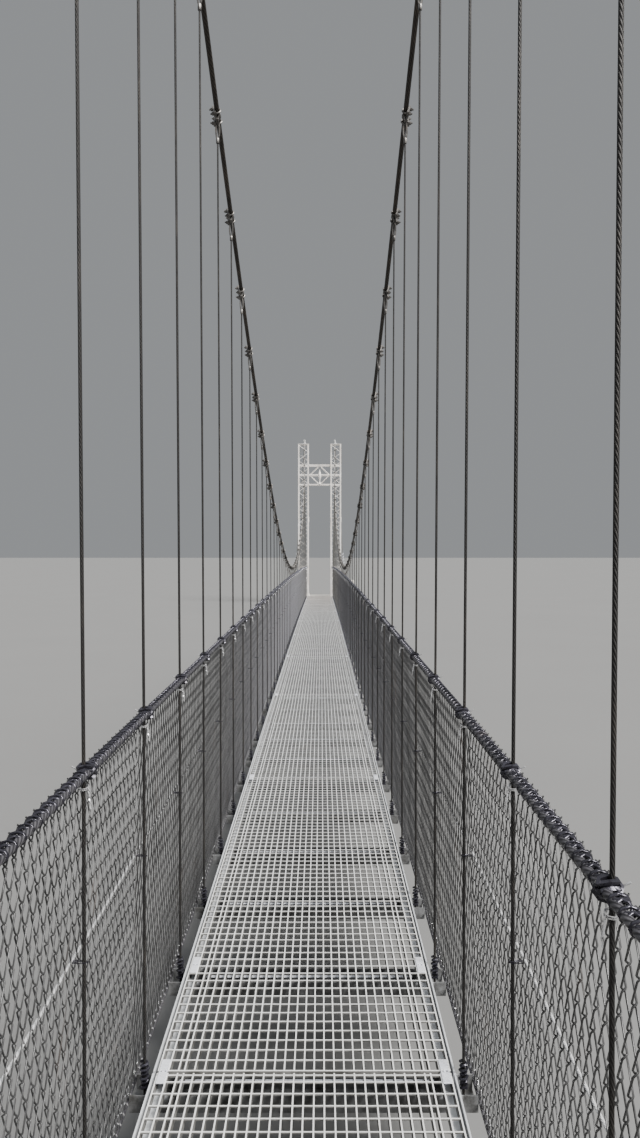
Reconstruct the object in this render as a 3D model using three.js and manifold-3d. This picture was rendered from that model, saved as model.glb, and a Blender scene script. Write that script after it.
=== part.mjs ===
// Suspension footbridge: two main wire ropes over lattice steel masts carry a narrow deck of
// bar grating on close-set rope hangers, with a chain-link fence along each side.
// Millimetres. +Y runs along the bridge from the near tower to the far one, +X is to the right
// and +Z is up. The origin is on the ground, under the middle of the bridge.

import * as THREE from 'three';
import { mergeVertices } from 'three/addons/utils/BufferGeometryUtils.js';
import Module from 'manifold-3d';

const wasm = await Module();
wasm.setup();

// Deck
const BAY = 609.6;
const BAYS_PER_PANEL = 5;
const PANEL_COUNT = 10;
const PANEL_LENGTH = BAY * BAYS_PER_PANEL;
const DECK_LENGTH = PANEL_LENGTH * PANEL_COUNT;
const DECK_HALF_WIDTH = 457.2;
const DECK_END_HEIGHT = 300;
const CAMBER = 110;
const PANEL_GAP = 8;
const GRATING_DEPTH = 32;
const GRATING_SIDE_GAP = 7.5;
const ANGLE_LEG = 40;
const STEEL_PLATE = 5;
const BEAM_WIDTH = 100;
const BEAM_DEPTH = 50;
const BEAM_DROP = 1;
const SEAT_BLOCK = { inner: 420, outer: 450, halfLength: 25, bite: 2, jointStart: 6, jointEnd: 40 };

// Space left between pieces that bear on each other
const SEAT = 0.3;

// Ropes
const MAIN_ROPE_RADIUS = 13;
const HANGER_RADIUS = 5;
const HANDRAIL_RADIUS = 8;
const MID_ROPE_RADIUS = 3;
const BOTTOM_ROPE_RADIUS = 6;
const HANDRAIL_HEIGHT = 1085;
const MID_ROPE_HEIGHT = 655;
const BOTTOM_ROPE_DROP = 60;
const HANGER_FOOT_X = 482;
const HANDRAIL_X = 472;
const BOTTOM_ROPE_X = 524;
const MESH_TOP_X = 505;
const MESH_THICKNESS = 4;
const MESH_GRID = { rows: 8, bar: 20 };

// Main rope line, as heights over the deck's ends
const TOWER_Y = 15500;
const NEAR_SADDLE_HEIGHT = 6900;
const FAR_SADDLE_HEIGHT = 5900;
const LOWEST_ROPE_HEIGHT = 1330;
const MAIN_ROPE_X = 488;
const SADDLE_X = 573;
const FLARE_POWER = 5;
const SADDLE_RADIUS = 220;
const SADDLE_ARC_STEPS = 6;

// Masts and portals
const MAST_X = 610;
const MAST_WIDTH = 400;
const LEG_SIZE = 48;
const LACING_RADIUS = 12;
const LACING_RISE = 295;
const BASE_PLATE = { size: 460, thickness: 20 };
const TOP_PLATE = { size: 410, thickness: 16 };
const SADDLE_HEIGHT = 180;
const ROPE_BAR = { height: 50, thickness: 10 };
const PORTAL = { topBelowSaddle: 960, depth: 770, chord: 40, lacingRadius: 16 };

// Slim turned ornament on a portal's bridge side, as radii and levels below the portal's top
const SPINDLE = [
  [45, -745],
  [45, -700],
  [20, -660],
  [28, -580],
  [58, -460],
  [58, -370],
  [35, -280],
  [12, -200],
];

// Sides of round bars, and steps of a saddle's arc
const ROPE_SIDES = 6;
const ROD_SIDES = 4;
const LACING_SIDES = 3;
const SPINDLE_SIDES = 6;
const ARC_SEGMENTS = 8;

// Saddles
const SADDLE_WEB_WIDTH = 32;
const SADDLE_CHEEK = { inner: 15, thickness: 10, rise: 24 };
const SADDLE_BASE = { width: 130, length: 370, thickness: 16 };

// Concrete
const FOUNDATION = { halfWidth: 1150, ledgeStart: 15140, upstand: 15248, end: 16350 };
const ANCHOR_BLOCK = { x: 1050, y: 19350, width: 800, length: 900, height: 750 };

// Anchor fittings
const ANCHOR_PLATE = { size: 320, thickness: 20 };
const ANCHOR_LUG = { width: 44, length: 170, height: 130 };
const ANCHOR_PIN_HEIGHT = 90;
const ANCHOR_ROD = { radius: 19, length: 600 };

function finish(color, roughness, metalness) {
  return new THREE.MeshStandardMaterial({ color, roughness, metalness });
}

const MATERIALS = {
  galvanised: finish(0xc9ccd0, 0.45, 0.8),
  deckSteel: finish(0xd8d9da, 0.4, 0.85),
  darkRope: finish(0x2b2724, 0.7, 0.5),
  brightRope: finish(0xb9bcc0, 0.4, 0.85),
  meshWire: finish(0x6c6c62, 0.55, 0.6),
  mastPaint: finish(0xd6d3ca, 0.5, 0.4),
  concrete: finish(0x9b968c, 0.95, 0),
};

const bridge = new THREE.Group();

function addMesh(parent, name, geometry, material) {
  const mesh = new THREE.Mesh(geometry, material);
  mesh.name = name;
  parent.add(mesh);
  return mesh;
}

// Solid modelling helpers

function toManifold(geometry) {
  const bare = geometry.clone();
  bare.deleteAttribute('normal');
  bare.deleteAttribute('uv');
  const merged = mergeVertices(bare, 1e-3);
  return new wasm.Manifold(new wasm.Mesh({
    numProp: 3,
    vertProperties: new Float32Array(merged.attributes.position.array),
    triVerts: new Uint32Array(merged.index.array),
  }));
}

function fuse(geometries) {
  const whole = geometries.map(toManifold).reduce((sum, piece) => sum.add(piece));
  const mesh = whole.getMesh();
  const geometry = new THREE.BufferGeometry();
  geometry.setAttribute('position', new THREE.BufferAttribute(mesh.vertProperties, 3));
  geometry.setIndex(new THREE.BufferAttribute(mesh.triVerts, 1));
  geometry.computeVertexNormals();
  return geometry;
}

function block(xRange, yRange, zRange) {
  const size = [xRange, yRange, zRange].map(([low, high]) => high - low);
  const middle = [xRange, yRange, zRange].map(([low, high]) => (low + high) / 2);
  return new THREE.BoxGeometry(...size).translate(...middle);
}

// A straight bar of few sides from one point to another
function bar(start, end, radius, sides) {
  const along = end.clone().sub(start);
  const length = along.length();
  const side = new THREE.Vector3(0, 0, 1).cross(along.normalize()).normalize();
  const turn = new THREE.Matrix4().makeBasis(along.clone().cross(side), along, side);
  turn.setPosition(start.clone().add(end).multiplyScalar(0.5));
  return new THREE.CylinderGeometry(radius, radius, length, sides).applyMatrix4(turn);
}

// A path that an extrusion follows from knot to knot, with no rounding between them
class KnottedPath extends THREE.Curve {
  constructor(knots) {
    super();
    this.knots = knots;
  }

  getPointAt(u) {
    return this.knots[Math.round(u * (this.knots.length - 1))].clone();
  }

  getTangentAt(u) {
    const index = Math.round(u * (this.knots.length - 1));
    const before = this.knots[Math.max(index - 1, 0)];
    const after = this.knots[Math.min(index + 1, this.knots.length - 1)];
    return after.clone().sub(before).normalize();
  }
}

function sweep(section, knots) {
  return new THREE.ExtrudeGeometry(section, {
    steps: knots.length - 1,
    extrudePath: new KnottedPath(knots),
    bevelEnabled: false,
  });
}

function rope(knots, radius, sides) {
  const corners = Array.from({ length: sides }, (_, index) => {
    const angle = (2 * Math.PI * index) / sides;
    return new THREE.Vector2(radius * Math.cos(angle), radius * Math.sin(angle));
  });
  return sweep(new THREE.Shape(corners), knots);
}

// An outline drawn in Y and Z, given a width along X
function alongX(points, width) {
  const outline = points instanceof THREE.Shape ? points : outlineOf(points);
  const settings = { depth: width, bevelEnabled: false, curveSegments: ARC_SEGMENTS };
  const solid = new THREE.ExtrudeGeometry(outline, settings);
  const turn = new THREE.Matrix4().makeBasis(
    new THREE.Vector3(0, 1, 0),
    new THREE.Vector3(0, 0, 1),
    new THREE.Vector3(1, 0, 0),
  );
  return solid.applyMatrix4(turn).translate(-width / 2, 0, 0);
}

// An outline drawn in X and Z, given a length along Y
function alongY(points, length) {
  const solid = new THREE.ExtrudeGeometry(outlineOf(points), { depth: length, bevelEnabled: false });
  return solid.rotateX(Math.PI / 2).translate(0, length / 2, 0);
}

function outlineOf(points) {
  return new THREE.Shape(points.map(([u, v]) => new THREE.Vector2(u, v)));
}

// Levels of the cambered deck, which is straight from one panel joint to the next

function jointY(index) {
  return -DECK_LENGTH / 2 + index * PANEL_LENGTH;
}

function jointLevel(index) {
  const share = jointY(index) / (DECK_LENGTH / 2);
  return DECK_END_HEIGHT + CAMBER * (1 - share * share);
}

function deckLevel(y) {
  const place = Math.min(Math.max((y + DECK_LENGTH / 2) / PANEL_LENGTH, 0), PANEL_COUNT);
  const index = Math.min(Math.floor(place), PANEL_COUNT - 1);
  return THREE.MathUtils.lerp(jointLevel(index), jointLevel(index + 1), place - index);
}

// Knots of a rope that follows the deck at one height, from one end stop to the other
function deckLine(x, height, endY) {
  const knots = [new THREE.Vector3(x, -endY, DECK_END_HEIGHT + height)];
  for (let index = 0; index <= PANEL_COUNT; index += 1) {
    knots.push(new THREE.Vector3(x, jointY(index), jointLevel(index) + height));
  }
  knots.push(new THREE.Vector3(x, endY, DECK_END_HEIGHT + height));
  return knots;
}

// The main rope hangs in one parabola, with its lowest point nearer the lower tower

const NEAR_REACH = Math.sqrt(NEAR_SADDLE_HEIGHT - LOWEST_ROPE_HEIGHT);
const FAR_REACH = Math.sqrt(FAR_SADDLE_HEIGHT - LOWEST_ROPE_HEIGHT);
const LOWEST_ROPE_Y = -TOWER_Y + (2 * TOWER_Y * NEAR_REACH) / (NEAR_REACH + FAR_REACH);
const ROPE_CURVATURE = (NEAR_SADDLE_HEIGHT - LOWEST_ROPE_HEIGHT) / (LOWEST_ROPE_Y + TOWER_Y) ** 2;

function mainRopePoint(side, y) {
  const flare = (SADDLE_X - MAIN_ROPE_X) * Math.abs(y / TOWER_Y) ** FLARE_POWER;
  const rise = ROPE_CURVATURE * (y - LOWEST_ROPE_Y) ** 2;
  return new THREE.Vector3(side * (MAIN_ROPE_X + flare), y, DECK_END_HEIGHT + LOWEST_ROPE_HEIGHT + rise);
}

function mainRopeSlope(y) {
  return 2 * ROPE_CURVATURE * (y - LOWEST_ROPE_Y);
}

function saddleHeight(end) {
  return end < 0 ? NEAR_SADDLE_HEIGHT : FAR_SADDLE_HEIGHT;
}

// Angles, from upright, at which the main rope meets and leaves its saddle
function saddleAngles(end) {
  const centreZ = DECK_END_HEIGHT + saddleHeight(end) - SADDLE_RADIUS;
  const run = ANCHOR_BLOCK.y - TOWER_Y;
  const drop = centreZ - anchorPin(1, end).z;
  const inner = Math.atan(Math.abs(mainRopeSlope(end * TOWER_Y)));
  const outer = Math.atan2(drop, run) + Math.asin(SADDLE_RADIUS / Math.hypot(run, drop));
  return { inner, outer, centreZ };
}

function anchorPin(side, end) {
  const z = ANCHOR_BLOCK.height + SEAT + ANCHOR_PLATE.thickness + ANCHOR_PIN_HEIGHT;
  return new THREE.Vector3(side * ANCHOR_BLOCK.x, end * ANCHOR_BLOCK.y, z);
}

// Knots over one saddle, from the bridge side to the land side
function saddleKnots(side, end) {
  const { inner, outer, centreZ } = saddleAngles(end);
  const knots = [];
  for (let step = 0; step <= SADDLE_ARC_STEPS; step += 1) {
    const angle = THREE.MathUtils.lerp(-inner, outer, step / SADDLE_ARC_STEPS);
    const y = end * (TOWER_Y + SADDLE_RADIUS * Math.sin(angle));
    knots.push(new THREE.Vector3(side * SADDLE_X, y, centreZ + SADDLE_RADIUS * Math.cos(angle)));
  }
  return knots;
}

// Point where the main rope ends and its anchor rod begins
function ropeEnd(side, end, extra) {
  const pin = anchorPin(side, end);
  const top = saddleKnots(side, end).at(-1);
  return pin.clone().add(top.sub(pin).setLength(ANCHOR_ROD.length + extra));
}

const HANGER_COUNT = PANEL_COUNT * BAYS_PER_PANEL - 1;

function hangerY(index) {
  return -DECK_LENGTH / 2 + (index + 1) * BAY;
}

function mainRopeKnots(side) {
  const knots = [ropeEnd(side, -1, SEAT), ...saddleKnots(side, -1).reverse()];
  for (let index = 0; index < HANGER_COUNT; index += 1) {
    knots.push(mainRopePoint(side, hangerY(index)));
  }
  knots.push(...saddleKnots(side, 1), ropeEnd(side, 1, SEAT));
  return knots;
}

// One hanger, from its seat in the crossbeam up into the main rope
function hanger(side, index) {
  const y = hangerY(index);
  const footDrop = GRATING_DEPTH + BEAM_DROP + BEAM_DEPTH - 2 * SEAT;
  const foot = new THREE.Vector3(side * HANGER_FOOT_X, y, deckLevel(y) - footDrop);
  return rope([foot, mainRopePoint(side, y)], HANGER_RADIUS, ROD_SIDES);
}

function mainRopeAndHangers(side) {
  const hangers = Array.from({ length: HANGER_COUNT }, (_, index) => hanger(side, index));
  return fuse([rope(mainRopeKnots(side), MAIN_ROPE_RADIUS, ROPE_SIDES), ...hangers]);
}

// Chain-link fence as a thin open grid outside the hangers, leaning out to the bottom rope
const MESH_BOTTOM = -BOTTOM_ROPE_DROP + BOTTOM_ROPE_RADIUS + SEAT;

function meshX(height) {
  return THREE.MathUtils.mapLinear(height, MESH_BOTTOM, HANDRAIL_HEIGHT, BOTTOM_ROPE_X, MESH_TOP_X);
}

function sideMesh(side) {
  const edge = (height) => deckLine(0, height, DECK_LENGTH / 2)
    .slice(1, -1)
    .map(({ y, z }) => [y, z]);
  const outline = outlineOf([...edge(MESH_BOTTOM), ...edge(HANDRAIL_HEIGHT).reverse()]);
  const pitch = (HANDRAIL_HEIGHT - MESH_BOTTOM - MESH_GRID.bar) / MESH_GRID.rows;
  for (let panel = 0; panel < PANEL_COUNT; panel += 1) {
    const start = jointY(panel) + (panel === 0 ? MESH_GRID.bar : MESH_GRID.bar / 2);
    const end = jointY(panel + 1) - (panel === PANEL_COUNT - 1 ? MESH_GRID.bar : MESH_GRID.bar / 2);
    for (let row = 0; row < MESH_GRID.rows; row += 1) {
      const low = MESH_BOTTOM + MESH_GRID.bar + row * pitch;
      const high = low + pitch - MESH_GRID.bar;
      const corners = [[start, low], [start, high], [end, high], [end, low]];
      outline.holes.push(outlineOf(corners.map(([y, height]) => [y, deckLevel(y) + height])));
    }
  }
  const sheet = alongX(outline, MESH_THICKNESS);
  const place = sheet.attributes.position;
  for (let index = 0; index < place.count; index += 1) {
    const height = place.getZ(index) - deckLevel(place.getY(index));
    place.setX(index, place.getX(index) + side * meshX(height));
  }
  return sheet;
}

// One deck panel's frame: edge angles on crossbeams of channel laid on its back
function deckFrame(index, length) {
  const beamTop = -(GRATING_DEPTH + SEAT + STEEL_PLATE + BEAM_DROP);
  const beamHalf = BOTTOM_ROPE_X - BOTTOM_ROPE_RADIUS - SEAT;
  const pieces = [];
  const outer = BEAM_WIDTH / 2;
  const inner = outer - STEEL_PLATE;
  const channel = [
    [-outer, beamTop - BEAM_DEPTH],
    [outer, beamTop - BEAM_DEPTH],
    [outer, beamTop],
    [inner, beamTop],
    [inner, beamTop - BEAM_DEPTH + STEEL_PLATE],
    [-inner, beamTop - BEAM_DEPTH + STEEL_PLATE],
    [-inner, beamTop],
    [-outer, beamTop],
  ];
  const places = Array.from({ length: BAYS_PER_PANEL }, (_, bay) => ({
    y: -length / 2 + bay * BAY,
    seat: bay === 0
      ? [SEAT_BLOCK.jointStart, SEAT_BLOCK.jointEnd]
      : [-SEAT_BLOCK.halfLength, SEAT_BLOCK.halfLength],
  }));
  const endInset = PANEL_GAP / 2 + outer;
  if (index === 0) {
    places[0].y += endInset;
  }
  if (index === PANEL_COUNT - 1) {
    places.push({ y: length / 2 - endInset, seat: [-SEAT_BLOCK.halfLength, SEAT_BLOCK.halfLength] });
  }
  for (const { y, seat } of places) {
    pieces.push(alongX(channel, 2 * beamHalf).translate(0, y, 0));
    const seatBottom = beamTop - BEAM_DEPTH + STEEL_PLATE - SEAT_BLOCK.bite;
    const seatZ = [seatBottom, beamTop + BEAM_DROP + SEAT_BLOCK.bite];
    for (const side of [-1, 1]) {
      const xRange = [side * SEAT_BLOCK.inner, side * SEAT_BLOCK.outer].sort((a, b) => a - b);
      pieces.push(block(xRange, [y + seat[0], y + seat[1]], seatZ));
    }
  }
  const legTop = beamTop + BEAM_DROP + STEEL_PLATE;
  for (const side of [-1, 1]) {
    const corners = [
      [DECK_HALF_WIDTH, legTop - STEEL_PLATE],
      [DECK_HALF_WIDTH, 0],
      [DECK_HALF_WIDTH - STEEL_PLATE, 0],
      [DECK_HALF_WIDTH - STEEL_PLATE, legTop],
      [DECK_HALF_WIDTH - ANGLE_LEG, legTop],
      [DECK_HALF_WIDTH - ANGLE_LEG, legTop - STEEL_PLATE],
    ];
    const outline = corners.map(([x, z]) => [side * x, z]);
    pieces.push(alongY(outline, length - PANEL_GAP));
  }
  return fuse(pieces);
}

function deckGrating(length) {
  const half = DECK_HALF_WIDTH - STEEL_PLATE - GRATING_SIDE_GAP;
  const reach = (length - PANEL_GAP) / 2;
  return block([-half, half], [-reach, reach], [-GRATING_DEPTH, 0]);
}

function addDeckPanel(index) {
  const run = jointLevel(index + 1) - jointLevel(index);
  const length = Math.hypot(PANEL_LENGTH, run);
  const panel = new THREE.Group();
  panel.position.set(0, jointY(index) + PANEL_LENGTH / 2, (jointLevel(index) + jointLevel(index + 1)) / 2);
  panel.rotation.x = Math.atan2(run, PANEL_LENGTH);
  addMesh(panel, `deck_frame_${index + 1}`, deckFrame(index, length), MATERIALS.galvanised);
  addMesh(panel, `deck_grating_${index + 1}`, deckGrating(length), MATERIALS.deckSteel);
  bridge.add(panel);
}

// One lattice mast, standing on its own origin, with its bridge side towards +Y
function mast(height) {
  const legPlace = (MAST_WIDTH - LEG_SIZE) / 2;
  const half = LEG_SIZE / 2;
  const pieces = [
    block([-BASE_PLATE.size / 2, BASE_PLATE.size / 2], [-BASE_PLATE.size / 2, BASE_PLATE.size / 2],
      [0, BASE_PLATE.thickness]),
    block([-TOP_PLATE.size / 2, TOP_PLATE.size / 2], [-TOP_PLATE.size / 2, TOP_PLATE.size / 2],
      [height - TOP_PLATE.thickness, height]),
  ];
  for (const x of [-legPlace, legPlace]) {
    for (const y of [-legPlace, legPlace]) {
      pieces.push(block([x - half, x + half], [y - half, y + half],
        [BASE_PLATE.thickness / 2, height - TOP_PLATE.thickness / 2]));
    }
  }
  const bottom = BASE_PLATE.thickness + LACING_RADIUS;
  const steps = Math.round((height - TOP_PLATE.thickness - LACING_RADIUS - bottom) / LACING_RISE);
  const rise = (height - TOP_PLATE.thickness - LACING_RADIUS - bottom) / steps;
  for (let face = 0; face < 4; face += 1) {
    for (let step = 0; step < steps; step += 1) {
      const turn = step % 2 === 0 ? 1 : -1;
      const start = new THREE.Vector3(-turn * legPlace, legPlace, bottom + step * rise);
      const end = new THREE.Vector3(turn * legPlace, legPlace, bottom + (step + 1) * rise);
      pieces.push(bar(start, end, LACING_RADIUS, LACING_SIDES).rotateZ((face * Math.PI) / 2));
    }
  }
  for (const level of [HANDRAIL_HEIGHT, MID_ROPE_HEIGHT]) {
    pieces.push(block([-legPlace, legPlace], [MAST_WIDTH / 2 - ROPE_BAR.thickness, MAST_WIDTH / 2],
      [level - ROPE_BAR.height / 2, level + ROPE_BAR.height / 2]));
  }
  return fuse(pieces);
}

// Portal truss between the two masts of a tower, in two planes tied at their ends, with its
// ornament on the plane at +Y
function portalTruss() {
  const reach = MAST_X - MAST_WIDTH / 2 - SEAT;
  const plane = (MAST_WIDTH - LEG_SIZE) / 2;
  const half = PORTAL.chord / 2;
  const levels = [-PORTAL.depth + half, -PORTAL.depth / 2, -half];
  const [low, middle, high] = levels;
  const rod = (start, end) => bar(
    new THREE.Vector3(...start),
    new THREE.Vector3(...end),
    PORTAL.lacingRadius,
    ROD_SIDES,
  );
  const pieces = [];
  for (const y of [-plane, plane]) {
    for (const z of levels) {
      pieces.push(block([-reach, reach], [y - half, y + half], [z - half, z + half]));
    }
    for (const side of [-1, 1]) {
      const outerX = side * (reach - PORTAL.chord);
      pieces.push(rod([outerX, y, middle], [0, y, high]));
      pieces.push(rod([outerX, y, middle], [0, y, low]));
    }
  }
  for (const x of [-reach + PORTAL.chord, reach - PORTAL.chord]) {
    for (const z of [low, high]) {
      pieces.push(rod([x, -plane, z], [x, plane, z]));
    }
  }
  const ends = [[0, SPINDLE[0][1]], ...SPINDLE, [0, SPINDLE.at(-1)[1]]];
  const profile = ends.map(([radius, level]) => new THREE.Vector2(radius, level));
  pieces.push(new THREE.LatheGeometry(profile, SPINDLE_SIDES).rotateX(Math.PI / 2).translate(0, plane, 0));
  return fuse(pieces);
}

// Cast saddle on a mast's head: a curved web between two cheeks, bridge side towards +Y
function saddle(end) {
  const { inner, outer } = saddleAngles(end);
  const centre = SADDLE_HEIGHT - SADDLE_RADIUS;
  const sag = 1 - Math.cos((inner + outer) / (2 * SADDLE_ARC_STEPS));
  const ropeFlat = MAIN_ROPE_RADIUS * Math.cos(Math.PI / 6);
  const webRadius = SADDLE_RADIUS * (1 - sag) - ropeFlat - SEAT;
  const profile = (radius) => {
    const outline = new THREE.Shape();
    outline.moveTo(-SADDLE_BASE.length / 2, SEAT);
    outline.lineTo(SADDLE_BASE.length / 2, SEAT);
    outline.lineTo(radius * Math.sin(inner), centre + radius * Math.cos(inner));
    outline.absarc(0, centre, radius, Math.PI / 2 - inner, Math.PI / 2 + outer, false);
    outline.closePath();
    return outline;
  };
  const cheek = SADDLE_CHEEK.inner + SADDLE_CHEEK.thickness / 2;
  return fuse([
    alongX(profile(webRadius), SADDLE_WEB_WIDTH),
    alongX(profile(webRadius + SADDLE_CHEEK.rise), SADDLE_CHEEK.thickness).translate(-cheek, 0, 0),
    alongX(profile(webRadius + SADDLE_CHEEK.rise), SADDLE_CHEEK.thickness).translate(cheek, 0, 0),
    block([-SADDLE_BASE.width / 2, SADDLE_BASE.width / 2],
      [-SADDLE_BASE.length / 2, SADDLE_BASE.length / 2],
      [SEAT, SADDLE_BASE.thickness]),
  ]);
}

// Concrete foundation of one tower, with a ledge that carries the deck's end
function foundation() {
  const ledge = DECK_END_HEIGHT - GRATING_DEPTH - STEEL_PLATE - BEAM_DROP - BEAM_DEPTH - 2 * SEAT;
  return alongX([
    [FOUNDATION.ledgeStart, 0],
    [FOUNDATION.end, 0],
    [FOUNDATION.end, DECK_END_HEIGHT],
    [FOUNDATION.upstand, DECK_END_HEIGHT],
    [FOUNDATION.upstand, ledge],
    [FOUNDATION.ledgeStart, ledge],
  ], 2 * FOUNDATION.halfWidth);
}

function anchorBlock() {
  const halfX = ANCHOR_BLOCK.width / 2;
  const halfY = ANCHOR_BLOCK.length / 2;
  return block([-halfX, halfX], [-halfY, halfY], [0, ANCHOR_BLOCK.height]);
}

// Steel fitting on an anchor block: plate, lug and the rod that takes the main rope
function anchorFitting(side, end) {
  const pin = anchorPin(side, end);
  const bottom = ANCHOR_BLOCK.height + SEAT;
  const half = ANCHOR_PLATE.size / 2;
  return fuse([
    block([pin.x - half, pin.x + half], [pin.y - half, pin.y + half],
      [bottom, bottom + ANCHOR_PLATE.thickness]),
    block([pin.x - ANCHOR_LUG.width / 2, pin.x + ANCHOR_LUG.width / 2],
      [pin.y - ANCHOR_LUG.length / 2, pin.y + ANCHOR_LUG.length / 2],
      [bottom + ANCHOR_PLATE.thickness / 2, bottom + ANCHOR_LUG.height]),
    bar(pin, ropeEnd(side, end, 0), ANCHOR_ROD.radius, ROPE_SIDES),
  ]);
}

// Deck
for (let index = 0; index < PANEL_COUNT; index += 1) {
  addDeckPanel(index);
}

// Ropes and fences of both sides
for (const [sideName, side] of [['left', -1], ['right', 1]]) {
  const midX = side * (meshX(MID_ROPE_HEIGHT) + MESH_THICKNESS / 2 + MID_ROPE_RADIUS + SEAT);
  const midLine = deckLine(midX, MID_ROPE_HEIGHT, TOWER_Y - MAST_WIDTH / 2 - SEAT);
  const bottomLine = deckLine(side * BOTTOM_ROPE_X, -BOTTOM_ROPE_DROP, FOUNDATION.upstand - SEAT);
  const railLine = deckLine(side * HANDRAIL_X, HANDRAIL_HEIGHT, TOWER_Y - MAST_WIDTH / 2 - SEAT);
  const rail = rope(railLine, HANDRAIL_RADIUS, ROPE_SIDES);
  const midRope = rope(midLine, MID_ROPE_RADIUS, ROPE_SIDES);
  const bottomRope = rope(bottomLine, BOTTOM_ROPE_RADIUS, ROPE_SIDES);
  addMesh(bridge, `${sideName}_main_rope_and_hangers`, mainRopeAndHangers(side), MATERIALS.darkRope);
  addMesh(bridge, `${sideName}_handrail_rope`, rail, MATERIALS.darkRope);
  addMesh(bridge, `${sideName}_mid_rope`, midRope, MATERIALS.brightRope);
  addMesh(bridge, `${sideName}_bottom_rope`, bottomRope, MATERIALS.brightRope);
  addMesh(bridge, `${sideName}_chain_link`, sideMesh(side), MATERIALS.meshWire);
}

// Towers and anchors of both ends
for (const [endName, end] of [['near', -1], ['far', 1]]) {
  const turn = end > 0 ? Math.PI : 0;
  const mastHeight = saddleHeight(end) - SADDLE_HEIGHT - SEAT;
  const head = DECK_END_HEIGHT + saddleHeight(end);
  const base = addMesh(bridge, `${endName}_foundation`, foundation(), MATERIALS.concrete);
  base.rotation.z = Math.PI - turn;
  const portal = addMesh(bridge, `${endName}_portal_truss`, portalTruss(), MATERIALS.mastPaint);
  portal.position.set(0, end * TOWER_Y, head - PORTAL.topBelowSaddle);
  portal.rotation.z = turn;
  for (const [sideName, side] of [['left', -1], ['right', 1]]) {
    const pole = addMesh(bridge, `${endName}_${sideName}_mast`, mast(mastHeight), MATERIALS.mastPaint);
    pole.position.set(side * MAST_X, end * TOWER_Y, DECK_END_HEIGHT + SEAT);
    pole.rotation.z = turn;
    const cradle = addMesh(bridge, `${endName}_${sideName}_saddle`, saddle(end), MATERIALS.mastPaint);
    cradle.position.set(side * SADDLE_X, end * TOWER_Y, head - SADDLE_HEIGHT);
    cradle.rotation.z = turn;
    const weight = addMesh(bridge, `${endName}_${sideName}_anchor_block`, anchorBlock(), MATERIALS.concrete);
    weight.position.set(side * ANCHOR_BLOCK.x, end * ANCHOR_BLOCK.y, 0);
    addMesh(bridge, `${endName}_${sideName}_anchor_fitting`, anchorFitting(side, end), MATERIALS.galvanised);
  }
}

export default bridge;
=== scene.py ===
"""Suspension footbridge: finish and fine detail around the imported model.

Metres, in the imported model's frame: +Y runs along the bridge from the near tower to the far one,
+X is to the right, +Z is up, and the origin is on the ground under the middle of the bridge.
"""

import math

import bmesh
import bpy
import numpy as np
from mathutils import Matrix, Vector


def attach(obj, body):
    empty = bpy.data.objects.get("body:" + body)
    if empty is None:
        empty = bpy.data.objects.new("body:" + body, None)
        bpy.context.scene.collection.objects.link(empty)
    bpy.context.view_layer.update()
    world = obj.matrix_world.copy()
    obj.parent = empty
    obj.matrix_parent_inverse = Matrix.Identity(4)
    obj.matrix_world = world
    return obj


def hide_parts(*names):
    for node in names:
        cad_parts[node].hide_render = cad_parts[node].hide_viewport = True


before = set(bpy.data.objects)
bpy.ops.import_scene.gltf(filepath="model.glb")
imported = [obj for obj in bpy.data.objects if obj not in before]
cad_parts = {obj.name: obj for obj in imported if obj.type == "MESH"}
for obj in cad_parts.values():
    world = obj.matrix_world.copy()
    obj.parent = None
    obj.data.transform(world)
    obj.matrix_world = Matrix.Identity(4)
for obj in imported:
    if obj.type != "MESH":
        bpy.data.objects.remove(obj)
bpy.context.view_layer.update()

SIDES = (("left", -1), ("right", 1))
ENDS = (("near", -1), ("far", 1))
TURN = 2 * math.pi

# Deck
BAY = 0.6096
BAYS_PER_PANEL = 5
PANEL_COUNT = 10
PANEL_LENGTH = BAY * BAYS_PER_PANEL
DECK_HALF_LENGTH = PANEL_LENGTH * PANEL_COUNT / 2
DECK_HALF_WIDTH = 0.4572
DECK_END_LEVEL = 0.3
CAMBER = 0.11
PANEL_GAP = 0.008
GRATING_DEPTH = 0.032
GRATING_BAR = 0.0041
OUTER_BARS = (0.0152, 0.0454, 0.0756, 0.0937)
MIDDLE_CELLS = 24
CROSS_SPACING = PANEL_LENGTH / 61
FIRST_ROD = 0.0075
CROSS_ROD = 0.0046
ROD_SINK = 0.62
NEAR_END_BAR = (0.0035, 0.016)
FAR_END_BAR = (0.0091, 0.006)
STRIP = {
    "joint_offset": 0.0136, "bay_offset": -0.012, "end_inset": 0.05, "half_length": 0.395,
    "width": 0.013, "thickness": 0.0046, "chamfer": 0.0012, "top": -0.0335,
}
CLIP = {
    "x": 0.426, "half_width": 0.0132, "half_length": 0.054, "thickness": 0.004, "slot": 0.008, "rail": 0.005,
    "overlap": 0.002, "bolt_radius": 0.0042, "bolt_length": 0.05, "gap": 0.0002,
}
BEAM_TOP = -0.0383

# Ropes
HANGER_COUNT = BAYS_PER_PANEL * PANEL_COUNT - 1
STRANDS = 6
MAIN_ROPE_RADIUS = 0.013
HANGER_RADIUS = 0.0045
HANDRAIL_RADIUS = 0.008
MID_ROPE_RADIUS = 0.0034
BOTTOM_ROPE_RADIUS = 0.006
HANDRAIL_HEIGHT = 1.085
MID_ROPE_HEIGHT = 0.655
BOTTOM_ROPE_HEIGHT = -0.06
HANGER_FOOT_X = 0.482
HANGER_FOOT_HEIGHT = -0.0824
HANDRAIL_X = 0.472
HANGER_RAIL_X = 0.4847
BOTTOM_ROPE_X = 0.524
MID_ROPE_GAP = 0.0053
MID_ROPE_SAG = 0.005
FOOT_LACING_RISE = 0.003
WINDING_DROP = 0.012

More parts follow.
